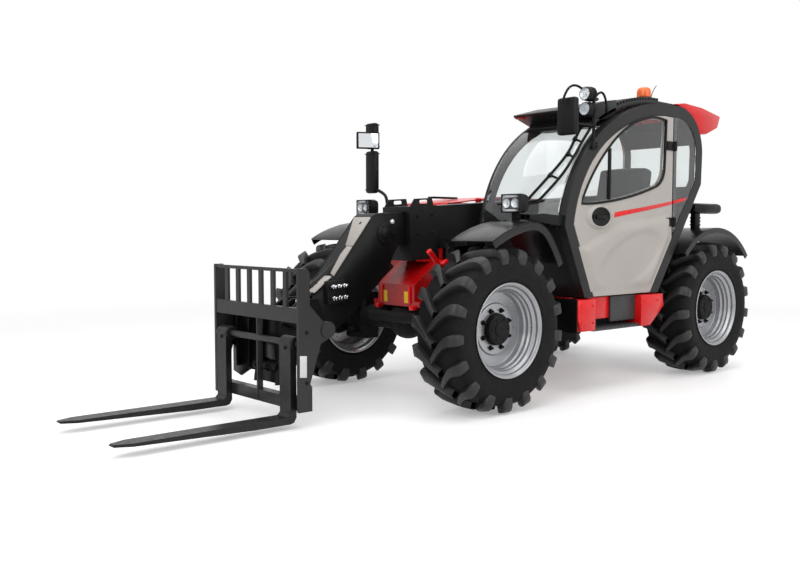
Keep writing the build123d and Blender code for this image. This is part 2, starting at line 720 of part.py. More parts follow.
def tube(u0, u1, width, top, height, wall):
    shell = box(u0, u1, -width / 2, width / 2, top - height, top)
    return shell - box(u0 - 1, u1 + 1, wall - width / 2, width / 2 - wall, top - height + wall, top - wall)


def inner_space(grow):
    half = INNER_W / 2 + grow
    return box(-500, 6000, -half, half, INNER_TOP - INNER_H - grow, INNER_TOP + grow)


def boom_outer():
    shape = tube(-130, OUTER_END, OUTER_W, OUTER_TOP, OUTER_H, BOOM_WALL)
    half = OUTER_W / 2
    collar = box(OUTER_END - COLLAR_LEN, OUTER_END, -half - 14, half + 14, COLLAR_BOTTOM, OUTER_TOP + 6)
    shape += collar - inner_space(SLIDE_GAP)
    shape += bar_y(0, 0, 82, -RAIL_IN + 1, RAIL_IN - 1)
    shape -= bar_y(0, 0, PIVOT_R + FIT, -400, 400)
    low = OUTER_TOP - OUTER_H
    for y in (LUG_HALF, -LUG_HALF - LUG_T):
        lug = outline((LIFT_EYE_U - 140, low + 1), (LIFT_EYE_U - 50, LIFT_EYE_W - 30),
                      (LIFT_EYE_U + 50, LIFT_EYE_W - 30), (LIFT_EYE_U + 140, low + 1))
        shape += across(lug, y, y + LUG_T)
    for y in (-half - 14, half + 2):
        ear = outline((OUTER_END - 250, OUTER_TOP), (OUTER_END - 235, OUTER_TOP + 62), (OUTER_END - 60, OUTER_TOP + 62),
                      (OUTER_END - 10, OUTER_TOP))
        hole = make_face(SlotOverall(90, 28).edges())
        shape += across(ear - Pos(OUTER_END - 150, OUTER_TOP + 36) * hole, y, y + 12)
    return BOOM_FRAME * shape


def head_side():
    top = INNER_TOP
    low = INNER_TOP - INNER_H
    u, w = HEAD_PIN_U, HEAD_PIN_W
    return outline(
        (KNEE_U - 400, top),
        (KNEE_U - 20, top),
        (KNEE_U + 25, top - 25),
        (u + 132, w + 303),
        (u + 95, w + 30),
        (u + 50, w - 70),
        (u - 50, w - 70),
        (u - 204, w + 57),
        (KNEE_U - 283, w + 346),
        (KNEE_U - 400, low),
    )


def boom_inner():
    half = INNER_W / 2
    shape = tube(INNER_TAIL, KNEE_U - 390, INNER_W, INNER_TOP, INNER_H, BOOM_WALL)
    head = across(head_side(), -half, half)
    head -= across(offset(head_side(), -HEAD_PLATE), HEAD_PLATE - half, half - HEAD_PLATE)
    head -= box(KNEE_U - 450, KNEE_U - 350, HEAD_PLATE - half, half - HEAD_PLATE,
                INNER_TOP - INNER_H + HEAD_PLATE, INNER_TOP - HEAD_PLATE)
    u, w = HEAD_PIN_U, HEAD_PIN_W
    head -= box(u - 120, u + 300, HEAD_PLATE - half, half - HEAD_PLATE, w - 120, w + 330)
    for y in (half - BOSS_W, -half):
        head += bar_y(u, w, 70, y, y + BOSS_W)
    head -= bar_y(u, w, HEAD_PIN_R + FIT, -400, 400)
    for y in (LUG_HALF, -half + HEAD_PLATE):
        head += bar_y(TILT_BASE_U, TILT_BASE_W, 40, y, y + half - HEAD_PLATE - LUG_HALF)
    head += bar_y(TILT_BASE_U, TILT_BASE_W, 25, -half + 1, half - 1)
    side = OUTER_W / 2 - BOOM_WALL - SLIDE_GAP
    pad = box(INNER_TAIL, INNER_TAIL + 180, -side, side, OUTER_TOP - OUTER_H + BOOM_WALL + SLIDE_GAP,
              OUTER_TOP - BOOM_WALL - SLIDE_GAP)
    pad -= box(INNER_TAIL - 1, INNER_TAIL + 300, 10 - half, half - 10, INNER_TOP - INNER_H + 10, INNER_TOP - 10)
    return BOOM_FRAME * (shape + head + pad)


def hose_cover():
    y0 = INNER_W / 2
    u, w = HEAD_PIN_U, HEAD_PIN_W
    strip = outline(
        (KNEE_U - 170, INNER_TOP - 4),
        (KNEE_U - 60, INNER_TOP - 4),
        (KNEE_U + 60, INNER_TOP - 130),
        (u - 75, w + 480),
        (u + 105, w + 312),
        (u + 45, w + 275),
        (u - 130, w + 430),
        (KNEE_U - 20, INNER_TOP - 170),
    )
    return BOOM_FRAME * fillet(across(strip, y0, y0 + 55).edges().group_by(Axis.Y)[-1], 10)


def hose_couplers():
    y0 = INNER_W / 2
    u, w = HEAD_PIN_U, HEAD_PIN_W
    block = box(u - 230, u - 60, y0, y0 + 40, w + 220, w + 350)
    for du in (-205, -150, -95):
        block += bar_y(u + du, w + 320, 17, y0 + 40, y0 + 115)
    return BOOM_FRAME * block


# Cylinders: each is made along +X from its base pin and then turned into place

def cylinder_pair(barrel_r, rod_r, length, barrel_len, tail, spare):
    eye = bar_y(0, 0, barrel_r * 0.8, -EYE_HALF, EYE_HALF)
    neck = box(0, 135, -EYE_HALF, EYE_HALF, -barrel_r * 0.6, barrel_r * 0.6)
    barrel = eye + neck + bar_x(0, 0, barrel_r, 130, barrel_len) + bar_x(0, 0, barrel_r + 8, barrel_len - 60, barrel_len)
    barrel -= bar_x(0, 0, rod_r + SLIDE_GAP, tail - spare, barrel_len + 5)
    piston = bar_x(0, 0, rod_r, tail, length - rod_r) + bar_y(length, 0, rod_r * 1.35, -EYE_HALF, EYE_HALF)
    piston -= bar_y(length, 0, rod_r * 0.7, -100, 100)
    return barrel, piston


def between(start, end):
    angle = math.degrees(math.atan2(end[1] - start[1], end[0] - start[0]))
    return Pos(start[0], 0, start[1]) * Rot(0, -angle, 0)


def lift_cylinder():
    length = math.dist(LIFT_BASE, LIFT_EYE)
    barrel, piston = cylinder_pair(LIFT_BARREL_R, LIFT_ROD_R, length, length - 150, 170, 2)
    barrel -= bar_y(0, 0, 28 + FIT, -100, 100)
    at = between(LIFT_BASE, LIFT_EYE)
    return at * barrel, at * piston


def tilt_cylinder():
    length = math.dist(TILT_BASE, TILT_EYE)
    barrel, piston = cylinder_pair(TILT_BARREL_R, TILT_ROD_R, length, length - 130, 180, 36)
    barrel -= bar_y(0, 0, 25 + FIT, -100, 100)
    at = between(TILT_BASE, TILT_EYE)
    return at * barrel, at * piston


# Carriage, from the head pin

def quick_hitch():
    inner = INNER_W / 2 + 8
    eye_x = TILT_EYE[0] - HEAD_X
    eye_z = TILT_EYE[1] - HEAD_Z
    cheek = outline((-60, 0), (-42, -60), (30, -75), (150, -120), (FRAME_REACH - 85, -330), (FRAME_REACH - 60, -330),
                    (FRAME_REACH - 110, 40), (HOOK_X + 60, HOOK_Z + 70), (eye_x + 50, eye_z + 45), (eye_x - 45, eye_z + 45), (-52, 60))
    gap = HOOK_TUBE_R + SLIDE_GAP
    slot = Pos(HOOK_X, HOOK_Z) * Circle(gap) + Pos(HOOK_X + 55, HOOK_Z + 25) * Rectangle(120, 2 * gap - 8, rotation=25)
    plate = across(cheek - slot, inner, inner + 28)
    shape = plate + other_side(plate)
    stub = bar_y(0, 0, HEAD_PIN_R, INNER_W / 2 - BOSS_W, inner + 28)
    shape += stub + other_side(stub)
    for y in (LUG_HALF, -LUG_HALF - LUG_T):
        lug = outline((eye_x - 38, eye_z - 40), (eye_x - 38, eye_z + 40), (eye_x + 40, eye_z + 40), (eye_x + 146, eye_z - 46),
                      (eye_x + 130, eye_z - 78), (eye_x + 40, eye_z - 40))
        shape += across(lug, y, y + LUG_T)
    shape += bar_y(eye_x + 138, eye_z - 62, 26, -inner - 1, inner + 1)
    shape += box(FRAME_REACH - 100, FRAME_REACH - 72, -inner - 20, inner + 20, -320, -220)
    return Pos(HEAD_X, 0, HEAD_Z) * shape


def frame_side():
    back = FRAME_REACH - 60
    cheek = outline((FRAME_REACH + FRAME_T, FRAME_TOP), (back + 25, FRAME_TOP), (back, FRAME_TOP - 25),
                    (back, SHELF_HIGH + 15), (HOOK_X + 40, HOOK_Z + 60), (HOOK_X - 42, HOOK_Z + 40), (HOOK_X - 42, HOOK_Z - 40),
                    (HOOK_X + 55, HOOK_Z - 85), (FRAME_REACH - 60, -270), (FRAME_REACH - 75, -290), (FRAME_REACH - 75, FRAME_FOOT),
                    (FRAME_REACH + FRAME_T, FRAME_FOOT))
    plate = across(cheek, FRAME_HALF - 25, FRAME_HALF)
    boss = bar_y(HOOK_X, HOOK_Z, HOOK_TUBE_R + 22, FRAME_HALF - 45, FRAME_HALF + 8)
    return plate + boss


def fork_frame():
    x0, x1 = FRAME_REACH, FRAME_REACH + FRAME_T
    side = frame_side()
    shape = side + other_side(side)
    half = FRAME_HALF - 20
    shape += box(x0 - 5, x1 - 3, -half, half, FRAME_TOP - 26, FRAME_TOP - 4)
    shape += box(x0 - 5, x1 - 3, -half, half, SHELF_LOW, SHELF_HIGH)
    pitch = 2 * half / (GUARD_BARS + 1)
    for i in range(1, GUARD_BARS + 1):
        y = -half + i * pitch
        shape += box(x0 + 2, x1 - 5, y - 20, y + 20, SHELF_HIGH - 2, FRAME_TOP - 10)
    shape += bar_y(x0 - 2, -SHAFT_DROP, SHAFT_R, -half, half)
    shape += box(FRAME_REACH - 72, FRAME_REACH - 1, -half, half, FRAME_FOOT + 2, FRAME_FOOT + FOOT_BAR_H)
    shape += bar_y(HOOK_X, HOOK_Z, HOOK_TUBE_R, -half, half)
    rib = outline((x0 - 40, SHELF_HIGH - 20), (x0 + 3, SHELF_HIGH - 20), (x0 + 3, FRAME_FOOT + 10), (x0 - 40, FRAME_FOOT + 10))
    shape += across(rib, -6, 6)
    return Pos(HEAD_X, 0, HEAD_Z) * shape


def fork(side):
    heel = FRAME_REACH
    under = -FORK_DROP
    top = under + FORK_T
    blade = outline((heel, -SHAFT_DROP - 10), (heel, top - 5), (heel + 18, under + 8), (heel + 45, under), (heel + 300, under),
                    (heel + FORK_LEN - 12, top - 16), (heel + FORK_LEN, top - 8), (heel + FORK_LEN - 12, top),
                    (heel + FORK_T + 20, top), (heel + FORK_T, top + 20), (heel + FORK_T, -SHAFT_DROP - 10))
    shape = across(blade, -FORK_W / 2, FORK_W / 2)
    shape += bar_y(heel - 2, -SHAFT_DROP, 48, -FORK_W / 2, FORK_W / 2)
    tip = heel + FORK_LEN
    half = FORK_W / 2
    plan = outline((0, -half), (tip - 110, -half), (tip, -half / 3), (tip, half / 3), (tip - 110, half), (0, half))
    shape &= Pos(0, 0, under - 20) * extrude(plan, FORK_DROP + 200)
    shape -= bar_y(heel - 2, -SHAFT_DROP, SHAFT_R + SLIDE_GAP, -200, 200)
    return Pos(HEAD_X, side * FORK_Y, HEAD_Z) * shape


def make_nodes():
    lift_barrel, lift_rod = lift_cylinder()
    tilt_barrel, tilt_rod = tilt_cylinder()
    nodes = {
        "chassis_frame": chassis_frame(),
        "front_axle_housing": axle_housing(True),
        "rear_axle_housing": axle_housing(False),
        "counterweight": counterweight(),
        "engine_block": engine_block(),
        "engine_pod": engine_pod(),
        "step_box": step_box(),
        "front_fenders": [front_fender(), other_side(front_fender())],
        "rear_fenders": [rear_fender(), other_side(rear_fender())],
        "cab_frame": cab_frame(),
        "cab_body": cab_body(),
        "cab_roof": cab_roof(),
        "windscreen": windscreen(),
        "cab_glass": cab_glass(),
        "seat": seat(),
        "console": console(),
        "steering_wheel": steering_wheel(),
        "front_lamps": front_lamps(),
        "rear_lamps": rear_lamps(),
        "mirrors": mirrors(),
        "beacon": beacon(),
        "door_panel": door_panel(),
        "door_glass": door_glass(),
        "bonnet": bonnet(),
        "boom_outer": boom_outer(),
        "boom_inner": boom_inner(),
        "hose_cover": hose_cover(),
        "hose_couplers": hose_couplers(),
        "lift_barrel": lift_barrel,
        "lift_rod": lift_rod,
        "tilt_barrel": tilt_barrel,
        "tilt_rod": tilt_rod,
        "quick_hitch": quick_hitch(),
        "fork_frame": fork_frame(),
        "fork_left": fork(1),
        "fork_right": fork(-1),
    }
    for corner in CORNERS:
        nodes["tyre_" + corner] = place_wheel_part(tyre(), corner)
        nodes["rim_" + corner] = place_wheel_part(rim(), corner)
        nodes["hub_" + corner] = place_wheel_part(hub(), corner)
        nodes["knuckle_" + corner] = knuckle_at(corner)
    return nodes


def main():
    os.makedirs("parts", exist_ok=True)
    for name, shape in make_nodes().items():
        whole = Compound(shape) if isinstance(shape, list) else shape
        export_step(whole, f"parts/{name}.step")


if __name__ == "__main__":
    main()
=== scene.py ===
import json
import math
import bmesh
import bpy
from mathutils import Matrix, Vector


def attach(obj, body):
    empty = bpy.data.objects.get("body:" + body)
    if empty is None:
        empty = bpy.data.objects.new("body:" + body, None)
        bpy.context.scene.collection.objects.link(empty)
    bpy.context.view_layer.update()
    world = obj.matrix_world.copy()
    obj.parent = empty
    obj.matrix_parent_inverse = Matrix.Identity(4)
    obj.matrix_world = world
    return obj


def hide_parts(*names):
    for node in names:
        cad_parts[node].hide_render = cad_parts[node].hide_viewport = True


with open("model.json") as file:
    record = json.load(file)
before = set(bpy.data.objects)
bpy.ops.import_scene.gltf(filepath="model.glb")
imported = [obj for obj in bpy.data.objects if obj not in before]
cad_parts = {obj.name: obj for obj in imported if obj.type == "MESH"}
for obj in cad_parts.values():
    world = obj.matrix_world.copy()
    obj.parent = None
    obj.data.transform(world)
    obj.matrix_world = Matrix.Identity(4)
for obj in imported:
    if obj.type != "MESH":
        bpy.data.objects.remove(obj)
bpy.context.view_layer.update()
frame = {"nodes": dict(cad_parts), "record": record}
nodes = frame["nodes"]
print("frame loaded:", len(nodes), "nodes")


# finishes

def paint(red, green, blue):
    # screen values 0-255 to the linear colour that a shader takes
    parts = [c / 255 for c in (red, green, blue)]
    return tuple(((c + 0.055) / 1.055) ** 2.4 if c > 0.04 else c / 12.92 for c in parts) + (1.0,)


# a row for each finish: its slot, two close colours, how fine they drift, gloss range, grain, relief and the rest
lookKeys = ("slot", "base", "tint", "patch", "rough", "grain", "bump", "spec", "coat", "edge", "metal", "sheen")
lookRows = dict(
    blackPaint=("black_paint", (11, 11, 12), (17, 17, 18), 2.2, (0.3, 0.42), 140, 0.05, 0.1, 0.03, 0.004),
    boomBlack=("black_paint", (18, 18, 19), (24, 24, 25), 2.2, (0.3, 0.4), 140, 0.05, 0.16, 0.05, 0.004),
    blackPlastic=("black_plastic", (13, 13, 14), (19, 19, 20), 3, (0.36, 0.5), 520, 0.14, 0.14, 0, 0.004),
    cabBlack=("black_plastic", (27, 27, 28), (34, 34, 35), 2.2, (0.34, 0.44), 200, 0.05, 0.2, 0.05, 0.006),
    fenderPlastic=("black_plastic", (15, 15, 16), (20, 20, 21), 3, (0.26, 0.36), 420, 0.05, 0.26, 0.12, 0.008),
    redPaint=("red_paint", (222, 16, 20), (202, 9, 13), 1.8, (0.24, 0.35), 170, 0.04, 0.28, 0.2, 0.004),
    greyPanel=("grey_panel", (172, 166, 161), (164, 158, 153), 1.6, (0.36, 0.46), 260, 0.05, 0.3, 0.1, 0.004),
    axleIron=("axle_iron", (14, 14, 15), (23, 23, 23), 5, (0.5, 0.66), 120, 0.18, 0.13, 0, 0.005),
    frameRed=("red_paint", (172, 8, 11), (154, 5, 8), 1.8, (0.24, 0.35), 170, 0.04, 0.28, 0.2, 0.004),
    frameGrey=("black_paint", (33, 33, 34), (41, 41, 42), 3, (0.3, 0.4), 140, 0.05, 0.22, 0.06, 0.004),
    silverRim=("silver_rim", (158, 159, 162), (144, 145, 148), 3, (0.26, 0.34), 420, 0.03, 0.5, 0.2, 0.002, 0.6),
    # the carcass rubber is painted darker than the lug rubber below: painted shade in the grooves between the
    # lugs
    shadedCarcassRubber=("tyre_rubber", (12, 12, 12), (18, 18, 18), 7, (0.6, 0.75), 190, 0.14, 0.14),
    lugRubber=("tyre_rubber", (19, 19, 19), (28, 28, 28), 9, (0.4, 0.52), 190, 0.12, 0.38),
    forkSteel=("fork_steel", (20, 20, 21), (34, 34, 35), 7, (0.3, 0.44), 90, 0.08, 0.25, 0, 0.003, 0.2),
    rodChrome=("steel_rod", (205, 206, 208), (190, 191, 194), 9, (0.1, 0.18), 300, 0.02, 0.5, 0, 0, 1),
    seatCloth=("seat_fabric", (34, 34, 36), (46, 46, 49), 9, (0.78, 0.92), 620, 0.4, 0.2, 0, 0, 0, 0.15),
    lampShell=("steel_rod", (222, 224, 226), (200, 202, 205), 6, (0.12, 0.22), 200, 0.03, 0.5, 0, 0, 0.35),
    beaconOrange=("beacon_orange", (244, 112, 20), (228, 88, 8), 22, (0.12, 0.24), 90, 0.05, 0.35, 0.3),
    redLens=("red_paint", (168, 8, 10), (134, 4, 6), 30, (0.1, 0.2), 60, 0.2, 0.5, 0.4),
    mirrorFace=("steel_rod", (226, 229, 232), (216, 219, 223), 5, (0.03, 0.07), 40, 0.01, 0.5, 0, 0, 1),
    tagYellow=("beacon_orange", (236, 196, 22), (222, 180, 14), 26, (0.4, 0.5), 300, 0.04),
    plateWhite=("grey_panel", (212, 212, 210), (200, 200, 198), 20, (0.4, 0.52), 300, 0.04),
    stepGrey=("black_paint", (52, 52, 53), (64, 64, 65), 4, (0.4, 0.52), 140, 0.08, 0.25, 0, 0.003))
looks = {name: dict(zip(lookKeys, row)) for name, row in lookRows.items()}


def setInputs(tree, node, values):
    # an input takes a value or a link from another node
    for label, value in values.items():
        if isinstance(value, bpy.types.NodeSocket):
            tree.links.new(value, node.inputs[label])
        else:
            node.inputs[label].default_value = value
    return node


def addNode(tree, kind, values, operation=None):
    node = tree.nodes.new("ShaderNode" + kind)
    if operation:
        node.operation = operation
    return setInputs(tree, node, values)


def addNoise(tree, place, scale, detail):
    return addNode(tree, "TexNoise", {"Vector": place, "Scale": scale, "Detail": detail}).outputs["Fac"]


def addRange(tree, value, low, high, outLow, outHigh):
    spread = {"Value": value, "From Min": low, "From Max": high, "To Min": outLow, "To Max": outHigh}
    return addNode(tree, "MapRange", spread).outputs["Result"]


def newFinish(name):
    mat = bpy.data.materials.new(name)
    mat.use_nodes = True
    tree = mat.node_tree
    return mat, tree, tree.nodes["Principled BSDF"], addNode(tree, "TexCoord", {}).outputs["Object"]


def makeFinish(name, look):
    mat, tree, shader, place = newFinish(name)
    # slow drift between two close colours
    drift = addRange(tree, addNoise(tree, place, look["patch"], 4.0), 0.32, 0.68, 0.0, 1.0)
    blend = tree.nodes.new("ShaderNodeMix")
    blend.data_type = "RGBA"
    setInputs(tree, blend, {"Factor": drift, "A": paint(*look["base"]), "B": paint(*look["tint"])})
    # gloss that wanders with a finer grain
    gloss = addRange(tree, addNoise(tree, place, look["patch"] * 6, 5.0), 0.3, 0.7, *look["rough"])
    grain = addNoise(tree, place, look["grain"], 3.0)
    relief = addNode(tree, "Bump", {"Strength": look["bump"], "Distance": 0.002, "Height": grain})
    if look.get("edge"):  # softened corners catch the light
        soft = addNode(tree, "Bevel", {"Radius": look["edge"]})
        soft.samples = 4
        setInputs(tree, relief, {"Normal": soft.outputs["Normal"]})
    setInputs(tree, shader, {
        "Base Color": blend.outputs["Result"], "Roughness": gloss, "Normal": relief.outputs["Normal"],
        "Metallic": look.get("metal", 0.0), "Specular IOR Level": look.get("spec", 0.5),
        "Coat Weight": look.get("coat", 0.0), "Coat Roughness": 0.12, "Sheen Weight": look.get("sheen", 0.0)})
    return mat


def makeGlass(name, tone, rough):
    mat, tree, shader, place = newFinish(name)
    film = addRange(tree, addNoise(tree, place, 3.0, 4.0), 0.3, 0.7, rough, rough + 0.03)
    setInputs(tree, shader, {"Base Color": paint(*tone), "Transmission Weight": 1.0, "IOR": 1.45,
                             "Roughness": film})
    # lamps shine through to what is inside
    clear = addNode(tree, "BsdfTransparent", {"Color": paint(*tone)})
    shade = addNode(tree, "LightPath", {}).outputs["Is Shadow Ray"]
    either = addNode(tree, "MixShader", {0: shade, 1: shader.outputs["BSDF"], 2: clear.outputs["BSDF"]})
    setInputs(tree, tree.nodes["Material Output"], {"Surface": either.outputs["Shader"]})
    return mat


finishes = {name: makeFinish(name, look) for name, look in looks.items()}
finishes["cabGlass"] = makeGlass("cabGlass", (238, 241, 241), 0.0)
finishes["lensGlass"] = makeGlass("lensGlass", (244, 246, 247), 0.02)
slots = {name: look["slot"] for name, look in looks.items()} | dict(cabGlass="glass", lensGlass="glass")

# a CAD node takes the first finish of its slot, unless it is named here
slotFinish = {slot: name for name, slot in reversed(slots.items())} | dict(lamp_lens="lampShell")
nodeFinish = dict(boom_outer="boomBlack", cab_frame="cabBlack", cab_body="cabBlack", chassis_frame="frameRed",
                  rear_fenders="fenderPlastic", fork_frame="frameGrey")
for part in frame["record"]["subparts"]:
    solid = nodes[part["node"]]
    solid.data.materials.clear()
    solid.data.materials.append(finishes[nodeFinish.get(part["node"], slotFinish[part["material_slot"]])])
print("finishes:", len(finishes))


# modelling helpers

def move(x, y, z):
    return Matrix.Translation((x, y, z))


def turned(degrees, axis):
    return Matrix.Rotation(math.radians(degrees), 4, axis)


def flipped(side):
    return Matrix.Diagonal((1, side, 1, 1))


def addIn(bm, part, place=None):
    # moves a finished small bmesh into a bigger one
    if place is not None:
        part.transform(place)
        if place.determinant() < 0:
            bmesh.ops.reverse_faces(part, faces=part.faces[:])
    carrier = bpy.data.meshes.new("carrier")
    part.to_mesh(carrier)
    part.free()
    bm.from_mesh(carrier)
    bpy.data.meshes.remove(carrier)


def roundEdges(bm, edges, size, steps=2, affect="EDGES"):
    bmesh.ops.bevel(bm, geom=edges, offset=size, segments=steps, profile=0.5, affect=affect, material=-1,
                    clamp_overlap=True)


def faceOut(bm):
    bmesh.ops.recalc_face_normals(bm, faces=bm.faces[:])


def newVerts(grown):
    return [g for g in grown["geom"] if isinstance(g, bmesh.types.BMVert)]


def addBlock(bm, low, high, soft=0.0, place=None):
    part = bmesh.new()
    low, high = Vector(low), Vector(high)
    bmesh.ops.create_cube(part, size=1.0)
    bmesh.ops.scale(part, vec=high - low, verts=part.verts)
    bmesh.ops.translate(part, vec=(low + high) / 2, verts=part.verts)
    if soft:
        roundEdges(part, part.edges[:], soft)
    addIn(bm, part, place)


def addRod(bm, start, end, radius, sides=24, soft=0.0):
    part = bmesh.new()
    start, end = Vector(start), Vector(end)
    aim = (end - start).to_track_quat("Z", "Y").to_matrix().to_4x4()
    bmesh.ops.create_cone(part, cap_ends=True, segments=sides, radius1=radius, radius2=radius,
                          depth=(end - start).length)
    if soft:
        rims = [e for e in part.edges if any(len(f.verts) > 4 for f in e.link_faces)]
        roundEdges(part, rims, soft)
    addIn(bm, part, move(*(start + end) / 2) @ aim)


def addPlate(bm, corners, push, soft=0.0):
    # a flat outline pushed to a thickness
    part = bmesh.new()
    face = part.faces.new([part.verts.new(c) for c in corners])
    grown = bmesh.ops.extrude_face_region(part, geom=[face])
    bmesh.ops.translate(part, vec=push, verts=newVerts(grown))
    faceOut(part)
    if soft:
        roundEdges(part, part.edges[:], soft)
    addIn(bm, part)


def addSlab(bm, outline, y, thick, soft=0.0):
    # an outline of (x, z) with its thickness along Y
    addPlate(bm, [(x, y, z) for x, z in outline], (0, thick, 0), soft)


def addSurround(bm, half, grow, depth, soft, place):
    # four strips around a panel that faces X, as shares of its half sizes
    (halfY, halfZ), (wide, tall), (x0, x1) = half, grow, depth
    for y0, y1, z0, z1 in ((-1, 1, 1, tall), (-1, 1, -tall, -1), (-wide, -1, -tall, tall),
                           (1, wide, -tall, tall)):
        addBlock(bm, (x0, y0 * halfY, z0 * halfZ), (x1, y1 * halfY, z1 * halfZ), soft, place)


def addLathe(bm, profile, steps=40, soft=0.0, place=None):
    # a closed outline of (radius, y) turned about the Y axis
    part = bmesh.new()
    ring = [part.verts.new((r, y, 0.0)) for r, y in profile]
    for one, two in zip(ring, ring[1:] + ring[:1]):
        part.edges.new((one, two))
    if soft:
        roundEdges(part, ring, soft, 3, "VERTICES")
    bmesh.ops.spin(part, geom=part.verts[:] + part.edges[:], cent=(0, 0, 0), axis=(0, 1, 0), angle=math.tau,
                   steps=steps, use_merge=True)
    bmesh.ops.remove_doubles(part, verts=part.verts[:], dist=1e-5)
    faceOut(part)
    addIn(bm, part, place)


def addTube(bm, points, radius):
    # a bent tube along a smooth line
    line = bpy.data.curves.new("line", "CURVE")
    line.dimensions = "3D"
    line.bevel_depth = radius
    line.bevel_resolution = 3
    line.use_fill_caps = True
    spline = line.splines.new("NURBS")
    spline.points.add(len(points) - 1)
    for knot, point in zip(spline.points, points):
        knot.co = (*point, 1.0)
    spline.order_u = 3
    spline.use_endpoint_u = True
    spline.resolution_u = 8
    holder = bpy.data.objects.new("line", line)
    shape = bpy.data.meshes.new_from_object(holder)
    bm.from_mesh(shape)
    bpy.data.objects.remove(holder)
    bpy.data.curves.remove(line)
    bpy.data.meshes.remove(shape)


def addBolts(bm, points, size, out=(0, 1, 0)):
    # hexagon heads on washers
    out = Vector(out).normalized()
    for at in map(Vector, points):
        addRod(bm, at - out * 0.002, at + out * 0.2 * size, size, sides=20)
        addRod(bm, at, at + out * 0.85 * size, 0.78 * size, sides=6, soft=0.06 * size)


def ringPoints(middle, radius, count, start=0.0, up=(0, 0, 1)):
    # points evenly around a middle, from the direction of X towards up
    angles = [start + math.tau * at / count for at in range(count)]
    return [Vector(middle) + radius * (math.cos(a) * Vector((1, 0, 0)) + math.sin(a) * Vector(up))
            for a in angles]


def makeOne(name, finish, body, add, *shape, **more):
    # a piece that is one shape
    bm = bmesh.new()
    add(bm, *shape, **more)
    makePiece(bm, name, finish, body)


def addObject(name, data):
    thing = bpy.data.objects.new(name, data)
    bpy.context.scene.collection.objects.link(thing)
    return thing


def makePiece(bm, name, finish, body="chassis", stands=(), sharp=35.0, second=None, place=None):
    if place is not None:
        loose, bm = bm, bmesh.new()
        addIn(bm, loose, place)
    mesh = bpy.data.meshes.new(name)
    bmesh.ops.remove_doubles(bm, verts=bm.verts[:], dist=1e-6)
    bm.to_mesh(mesh)
    bm.free()
    mesh.shade_smooth()
    mesh.set_sharp_from_angle(angle=math.radians(sharp))
    for label in (finish, second) if second else (finish,):
        mesh.materials.append(finishes[label])
    piece = addObject(name, mesh)
    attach(piece, body)
    if stands:
        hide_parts(*stands)
    return piece


def arcPoints(first, middle, last, steps):
    # points along the circle through three points of a plane
    (ax, ay), (bx, by), (cx, cy) = first, middle, last
    turn = 2 * (ax * (by - cy) + bx * (cy - ay) + cx * (ay - by))
    squares = [x * x + y * y for x, y in (first, middle, last)]
    midX = (squares[0] * (by - cy) + squares[1] * (cy - ay) + squares[2] * (ay - by)) / turn
    midY = (squares[0] * (cx - bx) + squares[1] * (ax - cx) + squares[2] * (bx - ax)) / turn
    radius = math.hypot(ax - midX, ay - midY)
    angles = [math.atan2(y - midY, x - midX) for x, y in (first, middle, last)]
    way = 1 if turn > 0 else -1
    span = way * ((way * (angles[2] - angles[0])) % math.tau)
    return [(midX + radius * math.cos(angles[0] + span * i / steps),
             midY + radius * math.sin(angles[0] + span * i / steps)) for i in range(steps)]


def addSweep(part, near, far, y0, y1, closed):
    # a bar of four sides between two lines of (x, z)
    rows = [[part.verts.new((x, y, z)) for (x, z), y in ((one, y0), (one, y1), (two, y1), (two, y0))]
            for one, two in zip(near, far)]
    for one, two in zip(rows, rows[1:] + rows[:1] if closed else rows[1:]):
        for side in range(4):
            part.faces.new((one[side], one[(side + 1) % 4], two[(side + 1) % 4], two[side]))
    for end in () if closed else (rows[0], rows[-1]):
        part.faces.new(end)
    faceOut(part)


def addBand(bm, line, grow, y0, y1, soft):
    # a flat frame along a closed line, widened outwards by grow
    part = bmesh.new()
    middle = sum((Vector(p) for p in line), Vector((0, 0))) / len(line)
    far = []
    for at, point in enumerate(line):
        along = Vector(line[(at + 1) % len(line)]) - Vector(line[at - 1])
        out = Vector((along.y, -along.x)).normalized()
        if out.dot(Vector(point) - middle) < 0:
            out.negate()
        far.append(Vector(point) + out * grow)
    addSweep(part, line, far, y0, y1, True)
    front = [e for e in part.edges if all(abs(v.co.y - y1) < 1e-6 for v in e.verts)]
    roundEdges(part, [e for e in front if any(abs(f.normal.y) < 0.5 for f in e.link_faces)], soft)
    addIn(bm, part)


def addFold(bm, line, thick, y0, y1, soft=0.0, place=None):
    # a plate bent along an open line, thickened to its left
    part = bmesh.new()
    far = []
    for at, point in enumerate(line):
        along = (Vector(line[min(at + 1, len(line) - 1)]) - Vector(line[max(at - 1, 0)])).normalized()
        far.append(Vector(point) + Vector((-along.y, along.x)) * thick)
    addSweep(part, line, far, y0, y1, False)
    if soft:
        roundEdges(part, [e for e in part.edges if e.calc_face_angle(0.0) > 1.0], soft)
    addIn(bm, part, place)


def addCushion(bm, size, crown, soft, place):
    # a stuffed block: rounded, then crowned in the middle of each face
    part = bmesh.new()
    bmesh.ops.create_cube(part, size=1.0)
    bmesh.ops.scale(part, vec=size, verts=part.verts)
    roundEdges(part, part.edges[:], soft, 4)
    bmesh.ops.subdivide_edges(part, edges=part.edges[:], cuts=3, use_grid_fill=True)
    half = [s / 2 for s in size]
    for vert in part.verts:
        share = [min(abs(c) / h, 1.0) for c, h in zip(vert.co, half)]
        for axis in range(3):
            other = [share[k] for k in range(3) if k != axis]
            lift = crown[axis] * (1 - other[0] ** 2) * (1 - other[1] ** 2)
            vert.co[axis] += math.copysign(lift * share[axis] ** 3, vert.co[axis])
    bmesh.ops.smooth_vert(part, verts=part.verts, factor=0.4, use_axis_x=True, use_axis_y=True, use_axis_z=True)
    addIn(bm, part, place)


toX = turned(-90, "Z")
pivotX, pivotZ = -1.65, 1.48
boomPlace = move(pivotX, 0, pivotZ) @ turned(3.5, "Y")


# wheels

